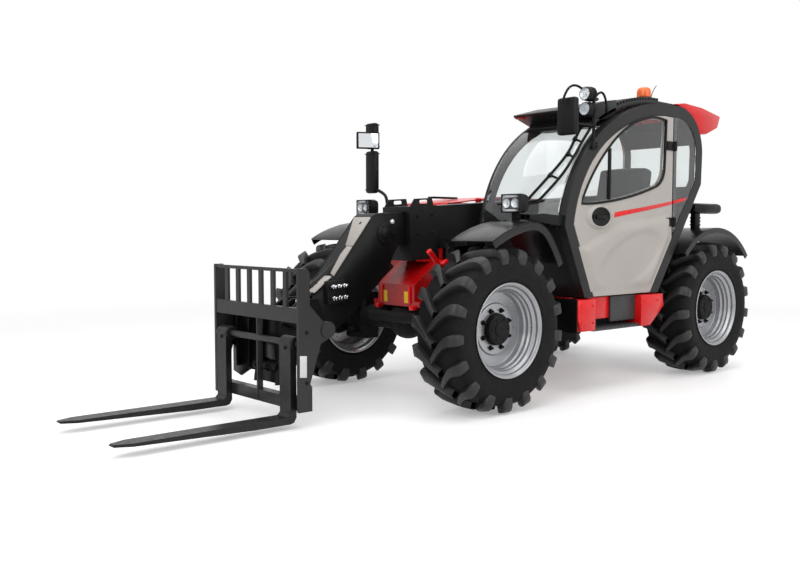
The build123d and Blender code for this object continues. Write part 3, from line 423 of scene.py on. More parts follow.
wheel = dict(axleX=1.345, planeY=0.855, axleZ=0.578, lugs=17, phase=185.38, spinSteps=102)
corners = dict(front_left=(1, 1), front_right=(1, -1), rear_left=(-1, 1), rear_right=(-1, -1))


def wheelPlace(corner):
    front, left = corners[corner]
    return move(front * wheel["axleX"], left * wheel["planeY"], wheel["axleZ"]) @ flipped(left)


tyre = dict(
    side=[(0.317, 0.1855), (0.3325, 0.1868), (0.347, 0.196), (0.356, 0.2015), (0.362, 0.2), (0.385, 0.2055),
          (0.43, 0.21), (0.462, 0.209), (0.485, 0.204), (0.503, 0.195), (0.514, 0.18), (0.521, 0.155),
          (0.526, 0.1), (0.528, 0.04)],
    # along a lug from its tip to the sidewall: top y, top radius, foot y, foot radius, slant, half width on top
    lug=[(-0.016, 0.576, -0.024, 0.52, 0.079, 0.0185), (0.012, 0.578, 0.012, 0.52, 0.049, 0.0205),
         (0.05, 0.578, 0.05, 0.519, 0.009, 0.0235), (0.088, 0.577, 0.088, 0.518, -0.029, 0.0275),
         (0.122, 0.5755, 0.122, 0.516, -0.058, 0.0315), (0.155, 0.572, 0.155, 0.513, -0.074, 0.0355),
         (0.184, 0.5655, 0.175, 0.508, -0.079, 0.0385), (0.2025, 0.551, 0.184, 0.5, -0.08, 0.04),
         (0.2145, 0.522, 0.192, 0.49, -0.08, 0.039), (0.2165, 0.492, 0.198, 0.478, -0.079, 0.036),
         (0.2125, 0.462, 0.202, 0.458, -0.078, 0.032)],
    flare=0.011, topRound=0.004, radius=0.578)


def makeLug():
    rows = tyre["lug"]
    part = bmesh.new()
    bmesh.ops.create_grid(part, x_segments=3, y_segments=len(rows) - 1, size=1.0)
    grid = sorted(part.verts, key=lambda v: (round(v.co.y, 4), v.co.x))
    for at, vert in enumerate(grid):
        topY, topR, footY, footR, slant, half = rows[at // 4]
        column = at % 4
        foot = column in (0, 3)
        y, r = (footY, footR) if foot else (topY, topR)
        width = half + (tyre["flare"] if foot else 0.0)
        turn = (slant + width * (1 if column > 1 else -1)) / tyre["radius"]
        vert.co = (r * math.sin(turn), y, r * math.cos(turn))
    bmesh.ops.holes_fill(part, edges=[e for e in part.edges if e.is_boundary], sides=0)
    faceOut(part)
    tops = {v for at, v in enumerate(grid) if at % 4 in (1, 2)}
    ridge = [e for e in part.edges if e.verts[0] in tops and e.verts[1] in tops
             and any(v not in tops for f in e.link_faces for v in f.verts)]
    roundEdges(part, ridge, tyre["topRound"])
    for face in part.faces:
        face.material_index = 1
    return part


def makeTyre(corner):
    bm = bmesh.new()
    place = wheelPlace(corner)
    outer = tyre["side"]
    addLathe(bm, outer + [(r, -y) for r, y in reversed(outer)], steps=wheel["spinSteps"], place=place)
    lug = makeLug()
    for turn in range(wheel["lugs"]):
        for side in (1, -1):
            share = turn + (0.5 if side < 0 else 0.0)
            angle = math.radians(wheel["phase"]) + math.tau * share / wheel["lugs"]
            addIn(bm, lug.copy(), place @ Matrix.Rotation(angle, 4, "Y") @ flipped(side))
    lug.free()
    # the carcass and groove floors take the darker rubber as painted shade for the grooves, the lugs take the
    # lighter lug rubber
    makePiece(bm, "tyre_tread_" + corner, "shadedCarcassRubber", "wheel_" + corner,
              stands=["tyre_" + corner], sharp=40.0, second="lugRubber")


rim = dict(
    profile=[(0.111, 0.06), (0.178, 0.06), (0.184, 0.046), (0.2597, 0.046), (0.2597, 0.088), (0.2717, 0.1),
             (0.2717, 0.122), (0.2827, 0.134), (0.2827, 0.152), (0.3037, 0.164), (0.3037, 0.184), (0.32, 0.2),
             (0.33, 0.2), (0.33, 0.19), (0.3147, 0.186), (0.3147, 0.13), (0.2827, 0.09), (0.2827, -0.11),
             (0.3147, -0.14), (0.3147, -0.186), (0.33, -0.19), (0.33, -0.2), (0.32, -0.2), (0.3037, -0.184),
             (0.3037, -0.14), (0.2717, -0.11), (0.2597, 0.0), (0.2597, 0.03), (0.184, 0.03), (0.175, 0.044),
             (0.111, 0.044)],
    nuts=8, nutRing=0.1375, nutY=0.06, nutSize=0.0185, capBolts=6, capRing=0.078, capY=0.1045,
    cap=[(0.0, 0.103), (0.05, 0.103), (0.05, 0.109), (0.044, 0.112), (0.0, 0.112)])


def makeRim(corner):
    place = wheelPlace(corner)
    bm = bmesh.new()
    addLathe(bm, rim["profile"], steps=96, soft=0.0035, place=place)
    makePiece(bm, "rim_shell_" + corner, "silverRim", "wheel_" + corner, stands=["rim_" + corner])
    bm = bmesh.new()
    nuts = ringPoints((0, rim["nutY"], 0), rim["nutRing"], rim["nuts"], math.pi / rim["nuts"])
    addBolts(bm, nuts, rim["nutSize"])
    for at in nuts:
        addRod(bm, at + Vector((0, 0.01, 0)), at + Vector((0, 0.028, 0)), 0.009, sides=12, soft=0.001)
    addBolts(bm, ringPoints((0, rim["capY"], 0), rim["capRing"], rim["capBolts"]), 0.008)
    addLathe(bm, rim["cap"])
    makePiece(bm, "wheel_nuts_" + corner, "axleIron", "wheel_" + corner, place=place)


for corner in corners:
    makeTyre(corner)
    makeRim(corner)
print("wheels done")


# lamps and mirrors

lampUnits = dict(
    head=dict(at=(1.1005, 0.84, 1.455), half=(0.078, 0.058), grow=(1.12, 1.14), spread=0.039, radius=0.038),
    body=dict(low=(1.005, -0.0895, 1.387), high=(1.104, 0.0895, 1.523), soft=0.034),
    foot=((1.033, -0.02, 1.3), (1.083, 0.02, 1.405)),
    bracket=[(0.64, 1.29), (0.76, 1.30), (1.083, 1.34), (1.083, 1.376), (0.64, 1.376)],
    work=dict(at=(0.4545, 0.982), heights=(2.162, 2.275), radius=0.05, post=0.355,
              fins=(-0.062, -0.05, -0.038)),
    guards=[[(0.66, 0.93, 2.2), (0.64, 0.94, 2.285), (0.545, 0.945, 2.345), (0.41, 0.95, 2.3),
             (0.3, 0.955, 2.25)],
            [(0.3, 0.93, 2.22), (0.29, 0.95, 2.295), (0.19, 0.96, 2.32), (0.17, 0.965, 2.2)]])


def makeLamps():
    shells, bowls, lenses = bmesh.new(), bmesh.new(), bmesh.new()
    spots = []
    head = lampUnits["head"]
    x, midY, midZ = head["at"]
    halfY, halfZ = head["half"]
    for side in (midY, -midY):
        place = move(x, side, midZ)
        addBlock(bowls, (-0.004, -halfY, -halfZ), (0.002, halfY, halfZ), 0.0015, place)
        addBlock(lenses, (0.018, -halfY, -halfZ), (0.026, halfY, halfZ), 0.0035, place)
        addSurround(shells, head["half"], head["grow"], (-0.006, 0.024), 0.003, place)
        for spread in (head["spread"], -head["spread"]):
            spots.append(((x + 0.001, side + spread, midZ), head["radius"]))
    work = lampUnits["work"]
    r = work["radius"]
    for z in work["heights"]:
        spots.append(((*work["at"], z), r))
        place = move(*work["at"], z) @ toX
        addLathe(lenses, [(0.0, 0.027), (0.5 * r, 0.025), (0.9 * r, 0.019), (0.9 * r, 0.0165),
                          (0.5 * r, 0.0225), (0.0, 0.0245)], place=place)
        for fin in work["fins"]:
            addLathe(shells, [(0.8 * r, fin), (1.1 * r, fin), (1.1 * r, fin + 0.006), (0.8 * r, fin + 0.006)],
                     soft=0.001, place=place)
    for at, r in spots:
        place = move(*at) @ toX
        addLathe(shells, [(0.87 * r, 0.0), (r, 0.0), (1.03 * r, 0.006), (0.98 * r, 0.016), (0.87 * r, 0.016)],
                 soft=0.001, place=place)
        addLathe(bowls, [(0.003, 0.002), (0.4 * r, 0.003), (0.7 * r, 0.008), (0.88 * r, 0.0145),
                         (0.88 * r, 0.0005), (0.003, 0.0005)], place=place)
        bulb = Vector(at) + Vector((0.001, 0, 0))
        addRod(bowls, bulb, bulb + Vector((0.01, 0, 0)), 0.16 * r, sides=14, soft=0.002)
    makePiece(shells, "lamp_bezels", "blackPlastic")
    bm = bmesh.new()
    body = lampUnits["body"]
    for side in (midY, -midY):
        addBlock(bm, body["low"], body["high"], body["soft"], move(0, side, 0))
        addBlock(bm, *lampUnits["foot"], 0.004, move(0, side, 0))
    addSlab(bm, lampUnits["bracket"], 0.905, 0.045, 0.004)
    addBlock(bm, (1.033, 0.84, 1.34), (1.083, 0.95, 1.376), 0.004)
    post, y = work["post"], work["at"][1]
    addBlock(bm, (0.315, 0.97, 1.87), (0.375, 0.994, 1.93), 0.004)
    addRod(bm, (post, y, 1.88), (post, y, 2.325), 0.012, soft=0.003)
    for z in work["heights"]:
        addRod(bm, (0.38, y, z), (work["at"][0], y, z), 0.052, sides=40, soft=0.006)
        addBlock(bm, (post - 0.01, y - 0.012, z - 0.015), (0.385, y + 0.012, z + 0.015), 0.003)
    makePiece(bm, "lamp_bodies", "blackPlastic", stands=["front_lamps"])
    makePiece(bowls, "lamp_reflectors", "lampShell")
    makePiece(lenses, "lamp_lenses", "lensGlass")
    bm = bmesh.new()
    for line in lampUnits["guards"]:
        addTube(bm, line, 0.009)
    addRod(bm, (0.3, 0.972, 2.25), (0.355, 0.982, 2.235), 0.012)
    addRod(bm, (0.17, 0.965, 2.16), (0.17, 0.965, 2.21), 0.014, soft=0.003)
    addBolts(bm, [(0.33, 0.994, 1.89), (0.33, 0.994, 1.915)], 0.008)
    makePiece(bm, "lamp_guards", "blackPaint")


mirror = dict(
    near=[(0.5585, 0.86, 1.985), (0.5585, 0.99, 1.985), (0.5585, 0.99, 2.22), (0.5585, 0.86, 2.22)],
    far=(1.165, -0.715, 2.01), farTurn=65.0, farHalf=(0.084, 0.058), farGrow=(1.08, 1.12),
    boxes=[((0.56, 0.84, 1.965), (0.62, 1.01, 2.24)), ((1.07, -0.8, 1.573), (1.13, -0.675, 1.927)),
           ((1.07, -0.8, 1.945), (1.13, -0.675, 2.16))],
    farBox=((-0.015, -0.0975, -0.07), (0.015, 0.0975, 0.07)), seams=(1.6, 1.9, 1.96, 2.14), foot=(1.1, -0.54),
    arm=[(1.1, -0.54, 1.195), (1.1, -0.54, 1.34), (1.1, -0.54, 1.5), (1.1, -0.575, 1.57), (1.1, -0.68, 1.6)])


def makeMirrors():
    faces, frames = bmesh.new(), bmesh.new()
    addPlate(faces, mirror["near"], (-0.003, 0, 0), 0.001)
    halfY, halfZ = mirror["farHalf"]
    place = move(*mirror["far"]) @ turned(mirror["farTurn"], "Z")
    addBlock(faces, (0.0145, -halfY, -halfZ), (0.018, halfY, halfZ), 0.0012, place)
    addSurround(frames, mirror["farHalf"], mirror["farGrow"], (0.01, 0.021), 0.002, place)
    for z in mirror["seams"]:
        addBlock(frames, (1.067, -0.803, z), (1.133, -0.672, z + 0.006), 0.002)
    foot = mirror["foot"]
    addRod(frames, (*foot, 1.2), (*foot, 1.225), 0.03, soft=0.004)
    addBolts(frames, ringPoints((*foot, 1.224), 0.022, 4, math.pi / 4, (0, 1, 0)), 0.005, (0, 0, 1))
    addRod(frames, (0.575, 0.982, 2.05), (0.605, 0.982, 2.05), 0.016, soft=0.003)
    addRod(frames, (0.355, 0.982, 2.03), (0.355, 0.982, 2.07), 0.018, soft=0.003)
    makePiece(faces, "mirror_faces", "mirrorFace")
    makePiece(frames, "mirror_fittings", "blackPlastic")
    bm = bmesh.new()
    for low, high in mirror["boxes"]:
        addBlock(bm, low, high, 0.02)
    addBlock(bm, *mirror["farBox"], 0.006, place)
    addRod(bm, (0.59, 0.982, 2.05), (0.355, 0.982, 2.05), 0.009)
    addRod(bm, (1.1, -0.7375, 1.9), (1.1, -0.7375, 1.97), 0.014)
    addTube(bm, mirror["arm"], 0.013)
    makePiece(bm, "mirror_bodies", "blackPlastic", stands=["mirrors"])


makeLamps()
makeMirrors()
print("lamps and mirrors done")


# cab

door = dict(
    y=0.972,
    window=arcPoints((0.47, 1.47), (0.33, 1.69), (0.13, 1.90), 14)
    + arcPoints((0.13, 1.90), (-0.16, 2.09), (-0.43, 2.165), 14)
    + [(-0.43, 2.165), (-0.53, 2.166), (-0.628, 2.163), (-0.62, 1.98)]
    + arcPoints((-0.61, 1.79), (-0.58, 1.69), (-0.50, 1.63), 8)
    + arcPoints((-0.50, 1.63), (0.0, 1.515), (0.47, 1.47), 16),
    stripe=[(0.07, 1.361), (-0.276, 1.409), (-0.603, 1.455), (-0.738, 1.477), (-0.738, 1.505), (-0.602, 1.484),
            (-0.275, 1.442), (0.06, 1.402)],
    tail=[(-0.77, 1.482), (-0.955, 1.513), (-0.97, 1.541), (-0.77, 1.51)],
    # an oval cup in a raised surround: middle, stretch along x, cup and surround radius
    cup=dict(at=(0.26, 1.365), wide=1.62, radius=0.073, outer=0.098),
    hinges=(1.33, 1.96), hingePin=(-0.752, 0.988))


def makeDoor():
    y = door["y"]
    bm = bmesh.new()
    addBand(bm, door["window"], 0.02, y - 0.012, y + 0.006, 0.004)
    addBlock(bm, (0.112, y - 0.022, 1.5), (0.138, y + 0.002, 1.895), 0.004)
    cup = door["cup"]
    (x, z), r = cup["at"], cup["radius"]
    place = move(x, 0, z) @ Matrix.Diagonal((cup["wide"], 1, 1, 1))
    addLathe(bm, [(0.0, y + 0.002), (0.8 * r, y + 0.002), (0.94 * r, y + 0.008), (r, y + 0.0165),
                  (r, y - 0.001), (0.0, y - 0.001)], steps=64, place=place)
    addBlock(bm, (x - 0.085, y + 0.001, z - 0.015), (x + 0.045, y + 0.017, z + 0.013), 0.006)
    addRod(bm, (x + 0.072, y + 0.001, z), (x + 0.072, y + 0.012, z), 0.013, soft=0.002)
    pin = door["hingePin"]
    for hinge in door["hinges"]:
        addBlock(bm, (-0.737, 0.966, hinge - 0.037), (-0.643, 0.9838, hinge + 0.037), 0.003)
        addRod(bm, (*pin, hinge - 0.037), (*pin, hinge + 0.037), 0.0148)
        for end in (hinge - 0.031, hinge + 0.031):
            addRod(bm, (*pin, end - 0.002), (*pin, end + 0.002), 0.0155, soft=0.001)
        addBolts(bm, [(x, 0.982, hinge + up) for x in (-0.71, -0.67) for up in (-0.016, 0.016)], 0.007)
    makePiece(bm, "door_trim", "blackPlastic", "door")
    outer = cup["outer"]
    surround = [(r, y - 0.001), (r, y + 0.021), (1.04 * r, y + 0.025), (1.12 * r, y + 0.023),
                (0.94 * outer, y + 0.008), (outer, y + 0.001), (outer, y - 0.001)]
    makeOne("handle_surround", "greyPanel", "door", addLathe, surround, steps=64, place=place)
    makeOne("door_stripe", "redPaint", "door", addSlab, door["stripe"], y - 0.001, 0.003, 0.0008)
    makeOne("quarter_stripe", "redPaint", "chassis", addSlab, door["tail"], 0.963, 0.003, 0.0008)


skin = dict(
    # sides of the lower door as a point and an outward direction, in (x, z)
    sides=[((0.42, 0.95), (0.91, -0.41)), ((0.0, 0.792), (0.0, -1.0)), ((-0.57, 0.98), (-0.82, -0.57)),
           ((-0.72, 1.2), (-1.0, 0.0)), ((-0.72, 1.4), (0.1, 1.0)), ((0.2, 1.25), (0.35, 0.94))],
    low=(-0.76, 0.74), high=(0.6, 1.5), steps=(76, 44), crown=0.004, dent=0.02,
    middle=(-0.15, 1.03), reach=(0.4, 0.17), lean=20.0, y=0.9715, edge=0.07)


def ease(value):
    # 0 to 1 with soft ends
    value = min(max(value, 0.0), 1.0)
    return value * value * (3 - 2 * value)


def makeSkin():
    bm = bmesh.new()
    (x0, z0), (x1, z1) = skin["low"], skin["high"]
    bmesh.ops.create_grid(bm, x_segments=skin["steps"][0], y_segments=skin["steps"][1], size=0.5)
    for vert in bm.verts:
        vert.co = (x0 + (vert.co.x + 0.5) * (x1 - x0), skin["y"], z0 + (vert.co.y + 0.5) * (z1 - z0))
    for (px, pz), (nx, nz) in skin["sides"]:
        bmesh.ops.bisect_plane(bm, geom=bm.verts[:] + bm.edges[:] + bm.faces[:], plane_co=(px, 0, pz),
                               plane_no=(nx, 0, nz), clear_outer=True)
    lean = math.radians(skin["lean"])
    for vert in bm.verts:
        x, z = vert.co.x, vert.co.z
        room = min((px - x) * nx + (pz - z) * nz for (px, pz), (nx, nz) in skin["sides"])
        rise = ease(room / skin["edge"])
        ax, az = x - skin["middle"][0], z - skin["middle"][1]
        across = (ax * math.cos(lean) - az * math.sin(lean)) / skin["reach"][0]
        up = (ax * math.sin(lean) + az * math.cos(lean)) / skin["reach"][1]
        deep = ease((1.2 - math.hypot(across, up)) / 0.25)
        vert.co.y += rise * (skin["crown"] + skin["dent"] * (1 - deep))
    border = [e for e in bm.edges if e.is_boundary]
    back = bmesh.ops.extrude_edge_only(bm, edges=border)
    for vert in newVerts(back):
        vert.co.y -= 0.003
    bmesh.ops.holes_fill(bm, edges=[e for e in bm.edges if e.is_boundary], sides=0)
    faceOut(bm)
    makePiece(bm, "door_skin", "greyPanel", "door", sharp=50.0)


wiper = dict(
    arm=[(0.2, 0.77, 2.105), (0.39, 0.835, 1.957), (0.497, 0.855, 1.836), (0.63, 0.795, 1.675),
         (0.74, 0.675, 1.495)],
    link=[(0.218, 0.865, 2.072), (0.391, 0.9, 1.928), (0.497, 0.91, 1.808), (0.613, 0.87, 1.642),
          (0.72, 0.77, 1.49)],
    blade=[(0.72, 0.77, 1.49), (0.755, 0.66, 1.47), (0.79, 0.54, 1.46), (0.8, 0.42, 1.46)])
beacon = dict(
    at=(-0.86, 0.6),
    stem=[(0.0, 2.31), (0.056, 2.31), (0.05, 2.33), (0.05, 2.395), (0.066, 2.4), (0.066, 2.415), (0.0, 2.415)],
    dome=[(0.0, 2.414), (0.06, 2.414), (0.062, 2.42), (0.061, 2.462), (0.055, 2.485), (0.04, 2.498),
          (0.0, 2.503)],
    aerial=[(-0.95, 0.6, 2.33), (-0.967, 0.6, 2.42), (-1.0, 0.6, 2.495), (-1.05, 0.6, 2.535)])


def makeCabFittings():
    bm = bmesh.new()
    addTube(bm, wiper["arm"], 0.011)
    addTube(bm, wiper["link"], 0.011)
    addTube(bm, wiper["blade"], 0.008)
    for one, two in zip(wiper["arm"][1:4], wiper["link"][1:4]):
        addRod(bm, one, two, 0.009)
        slope = Vector((0.01, 0, -0.012))
        addRod(bm, Vector(one) - slope, Vector(one) + slope, 0.017, soft=0.003)
    upright = move(*beacon["at"], 0) @ turned(90, "X")
    addLathe(bm, beacon["stem"], soft=0.002, place=upright)
    addRod(bm, (-0.94, 0.6, 2.3), (-0.95, 0.6, 2.345), 0.016, soft=0.004)
    addTube(bm, beacon["aerial"], 0.0035)
    makePiece(bm, "cab_fittings", "blackPlastic")
    bm = bmesh.new()
    addLathe(bm, beacon["dome"], steps=48, place=upright)
    makePiece(bm, "beacon_dome", "beaconOrange", stands=["beacon"])
    strip = [(0.372, 0.205, 2.1745), (0.372, 0.3, 2.1745), (0.345, 0.3, 2.1658), (0.345, 0.205, 2.1658)]
    makeOne("visor_red", "frameRed", "chassis", addPlate, strip, (0.001, 0, -0.003), 0.0008)


roof = dict(
    # middle of the slab's upper face from front to back, in (x, z)
    line=[(0.268, 2.086), (0.188, 2.131), (0.107, 2.172), (0.023, 2.208), (-0.062, 2.24), (-0.149, 2.267),
          (-0.238, 2.29), (-0.327, 2.307), (-0.418, 2.32), (-0.509, 2.327), (-0.6, 2.33), (-0.715, 2.328),
          (-0.831, 2.326), (-0.895, 2.32), (-0.958, 2.303), (-1.018, 2.277), (-1.073, 2.241), (-1.121, 2.197),
          (-1.161, 2.146), (-1.193, 2.089)],
    width=(0.245, 0.9), thick=0.03, bars=16, firstBar=-0.06, pitch=0.038, barWidth=(0.305, 0.89),
    visor=[(0.388, 2.192), (0.374, 2.176), (0.17, 2.11), (0.06, 2.13), (-0.04, 2.18), (-0.04, 2.286),
           (0.1, 2.264)], visorInner=0.2,
    tail=[(-0.83, 2.318), (-1.219, 2.302), (-1.521, 2.264), (-1.474, 2.162), (-1.292, 2.097), (-1.18, 2.085),
          (-1.1, 2.19), (-0.96, 2.265)],
    cheek=[(-0.8, 2.318), (-0.95, 2.338), (-1.22, 2.322), (-1.521, 2.27), (-1.474, 2.165), (-1.3, 2.1),
           (-1.19, 2.09), (-1.165, 2.12), (-1.06, 2.225), (-0.93, 2.285)])


def makeRoof():
    bm = bmesh.new()
    y0, y1 = roof["width"]
    line = roof["line"]
    addFold(bm, line, roof["thick"], y0, y1, 0.004)
    low, high = roof["barWidth"]
    for at in range(roof["bars"]):
        x = roof["firstBar"] - at * roof["pitch"]
        (ax, az), (bx, bz) = next(pair for pair in zip(line, line[1:]) if pair[0][0] >= x >= pair[1][0])
        z = az + (bz - az) * (x - ax) / (bx - ax)
        place = move(x, 0, z) @ Matrix.Rotation(math.pi - math.atan2(bz - az, bx - ax), 4, "Y")
        addBlock(bm, (-0.009, low, -0.026), (0.009, high, 0.026), 0.004, place)
    addSlab(bm, roof["visor"], roof["visorInner"], y1 - roof["visorInner"], 0.006)
    makePiece(bm, "roof_shell", "cabBlack", stands=["cab_roof"])
    bm = bmesh.new()
    addSlab(bm, roof["tail"], y0, y1 - y0 + 0.002, 0.006)
    addSlab(bm, roof["cheek"], y1, 0.055, 0.012)
    makePiece(bm, "roof_spoiler", "redPaint")


seat = dict(
    cushion=dict(at=(-0.28, 0.6, 1.155), size=(0.5, 0.47, 0.11), crown=(0.006, 0.008, 0.022), turn=-4.0),
    back=dict(at=(-0.545, 0.6, 1.49), size=(0.11, 0.47, 0.58), crown=(0.026, 0.01, 0.012), turn=-12.0),
    arm=dict(at=(-0.32, 0.345, 1.36), size=(0.36, 0.07, 0.06), crown=(0.003, 0.006, 0.008), turn=0.0))
seatBase = dict(
    slide=0.12, pan=((-0.6, 0.4, 1.06), (-0.2, 0.8, 1.11)), plinth=((-0.58, 0.42, 0.78), (-0.22, 0.78, 0.832)),
    bellows=((-0.55, 0.45, 0.83), (-0.25, 0.75, 0.877)), folds=5, fold=0.047, foldInset=0.02,
    post=((-0.66, 0.31, 1.15), (-0.6, 0.37, 1.36)), shell=((-0.74, 0.4, 1.2), (-0.69, 0.8, 1.72)),
    shellPivot=(-0.7, 0, 1.4), shellTurn=-12.0)


def makeSeat():
    for name, pad in seat.items():
        bm = bmesh.new()
        addCushion(bm, pad["size"], pad["crown"], 0.03, move(*pad["at"]) @ turned(pad["turn"], "Y"))
        piece = makePiece(bm, "seat_" + name, "seatCloth", sharp=80.0)
    bm = bmesh.new()
    addBlock(bm, *seatBase["pan"], 0.015)
    for at in range(seatBase["folds"]):
        inset = seatBase["foldInset"] if at % 2 else 0.0
        (x0, y0, z0), (x1, y1, z1) = seatBase["bellows"]
        rise = seatBase["fold"] * at
        addBlock(bm, (x0 + inset, y0 + inset, z0 + rise), (x1 - inset, y1 - inset, z1 + rise), 0.012)
    addBlock(bm, *seatBase["plinth"], 0.01)
    addBlock(bm, *seatBase["post"], 0.012)
    pivot = move(*seatBase["shellPivot"])
    addBlock(bm, *seatBase["shell"], 0.02, pivot @ turned(seatBase["shellTurn"], "Y") @ pivot.inverted())
    makePiece(bm, "seat_base", "blackPlastic", stands=["seat"], place=move(seatBase["slide"], 0, 0))


makeDoor()
makeSkin()
makeCabFittings()
makeRoof()
makeSeat()
print("cab done")


# boom, head and hitch

# the head's side plate in (u, w) of the boom's own frame; front plate and belly follow its edges
headSide = [(3.025, 0.11), (3.405, 0.11), (3.44, 0.092), (3.822, -0.318), (3.99, -0.425), (4.066, -0.56),
            (4.074, -0.66), (4.04, -0.745), (3.94, -0.748), (3.822, -0.684), (3.617, -0.553), (3.44, -0.42),
            (3.321, -0.325), (3.265, -0.215), (3.211, -0.135), (3.025, -0.135)]
boom = dict(
    collarBolts=[(u, w) for u in (2.895, 3.04) for w in (0.075, -0.055)],
    collarSide=0.154, headBoss=(3.321, -0.04), half=0.11, wall=0.016, tail=0.38, neck=3.04,
    front=headSide[:5], belly=headSide[:9:-1] + [(3.75, -0.638)],
    headPin=(3.979, -0.678), tiltPin=(3.42, -0.07),
    # cover plates as (distance down the front plate, y)
    covers=[[(0.012, -0.09), (0.012, 0.104), (0.28, 0.106), (0.28, 0.03)],
            [(0.285, 0.05), (0.285, 0.106), (0.548, 0.108), (0.53, 0.063), (0.357, 0.035)]],
    lowCover=[(3.83, -0.312), (3.985, -0.411)], coupler=((3.749, 0.109, -0.493), (3.904, 0.15, -0.333)),
    # a slot in the upper cover: place on the cover, turn, and its two corners
    slotAt=(3.48774, 0, 0.04076), slotTurn=47.0, slot=((-0.012, 0.026, 0.01), (0.012, 0.046, 0.0128)),
    button=[(0.0, 0.1), (0.016, 0.1), (0.016, 0.118), (0.011, 0.124), (0.0, 0.126)],
    buttonAt=(3.26, 0.005, 0.045))


def makeInnerBoom():
    bm = bmesh.new()
    half, wall = boom["half"], boom["wall"]
    top, low = headSide[0][1], headSide[-1][1]
    for y in (-half, half - 0.01):
        addBlock(bm, (boom["tail"], y, low), (boom["neck"], y + 0.01, top), 0.002)
    for w in (low, top - 0.01):
        addBlock(bm, (boom["tail"], -half, w), (boom["neck"], half, w + 0.01), 0.002)
    for y in (-half, half - wall):
        addSlab(bm, headSide, y, wall, 0.003)
    addFold(bm, boom["front"], -wall, 0.001 - half, half - 0.001)
    addFold(bm, boom["belly"], wall, 0.001 - half, half - 0.001)
    u, w = boom["headPin"]
    for y in (-half - 0.006, half - 0.05):
        addRod(bm, (u, y, w), (u, y + 0.056, w), 0.07, sides=40, soft=0.004)
    u, w = boom["tiltPin"]
    addRod(bm, (u, 0.001 - half, w), (u, half - 0.001, w), 0.025)
    u, w = boom["headBoss"]
    for side in (1, -1):
        for radius, out in ((0.085, 0.118), (0.045, 0.124)):
            addRod(bm, (u, side * (half - 0.002), w), (u, side * out, w), radius, sides=40, soft=0.003)
    makePiece(bm, "inner_boom_shell", "blackPaint", "boom_slider", stands=["boom_inner"], place=boomPlace)
    # plates that hide the hoses on the head's front
    knee, kink = (Vector((u, 0, w)) for u, w in boom["front"][2:4])
    down = (kink - knee).normalized()
    out = Vector((-down.z, 0, down.x))
    bm = bmesh.new()
    for cover in boom["covers"]:
        addPlate(bm, [knee + down * s - out * 0.001 + Vector((0, y, 0)) for s, y in cover], out * 0.013, 0.003)
    addFold(bm, boom["lowCover"], 0.012, 0.03, 0.106, 0.003)
    makePiece(bm, "head_covers", "greyPanel", "boom_slider", stands=["hose_cover"], place=boomPlace)
    block, tips = bmesh.new(), bmesh.new()
    first, last = boom["coupler"]
    addBlock(block, first, last, 0.006)
    for at in range(6):
        spot = Vector((first[0] + 0.03 + 0.047 * (at % 3), last[1] - 0.004, first[2] + 0.04 + 0.08 * (at // 3)))
        addRod(block, spot, spot + Vector((0, 0.02, 0)), 0.021, sides=6, soft=0.002)
        addRod(tips, spot, spot + Vector((0, 0.045, 0)), 0.0155, soft=0.003)
        addRod(tips, spot + Vector((0, 0.04, 0)), spot + Vector((0, 0.068, 0)), 0.012, soft=0.003)
    makePiece(block, "coupler_block", "axleIron", "boom_slider", stands=["hose_couplers"], place=boomPlace)
    makePiece(tips, "coupler_tips", "rodChrome", "boom_slider", place=boomPlace)


def makeBoom():
    bm = bmesh.new()
    for side in (1, -1):
        addBolts(bm, [(u, side * boom["collarSide"], w) for u, w in boom["collarBolts"]], 0.015, (0, side, 0))
    makePiece(bm, "collar_bolts", "axleIron", "boom", place=boomPlace)
    bm = bmesh.new()
    addBlock(bm, *boom["slot"], 0.001, move(*boom["slotAt"]) @ turned(boom["slotTurn"], "Y"))
    u, w = boom["headBoss"]
    addBolts(bm, ringPoints((u, 0.1175, w), 0.065, 6), 0.008)
    makePiece(bm, "head_bolts", "axleIron", "boom_slider", place=boomPlace)
    bm = bmesh.new()
    addLathe(bm, boom["button"], steps=28, place=move(*boom["buttonAt"]))
    makePiece(bm, "head_buttons", "lampShell", "boom_slider", place=boomPlace)


fork = dict(
    label=[(2.72, 0.34), (2.668, 0.335), (2.667, 0.472), (2.719, 0.477)], side=0.5295, shaft=(2.698, 0.5454),
    slide=0.4, pin=(2.2802, 0.5604),
    cap=[(0.0, 0.145), (0.058, 0.145), (0.058, 0.158), (0.05, 0.164), (0.0, 0.164)], capRing=0.036,
    # dark plate between the hitch and the frame's right side, in (y, z), with what sits on it
    backX=2.575, back=[(-0.507, 0.7), (0.125, 0.7), (0.125, 0.3), (0.06, 0.25), (-0.1, 0.265), (-0.2, 0.29),
                       (-0.28, 0.285), (-0.4, 0.225), (-0.507, 0.25)],
    ribs=(-0.4, -0.24, -0.06), ribZ=(0.3, 0.69),
    lock=[(-0.075, 0.4), (0.075, 0.385), (0.05, 0.49), (-0.05, 0.5)],
    cylinderZ=0.345, cylinder=(-0.16, 0.12), bands=(-0.12, 0.02, 0.08))


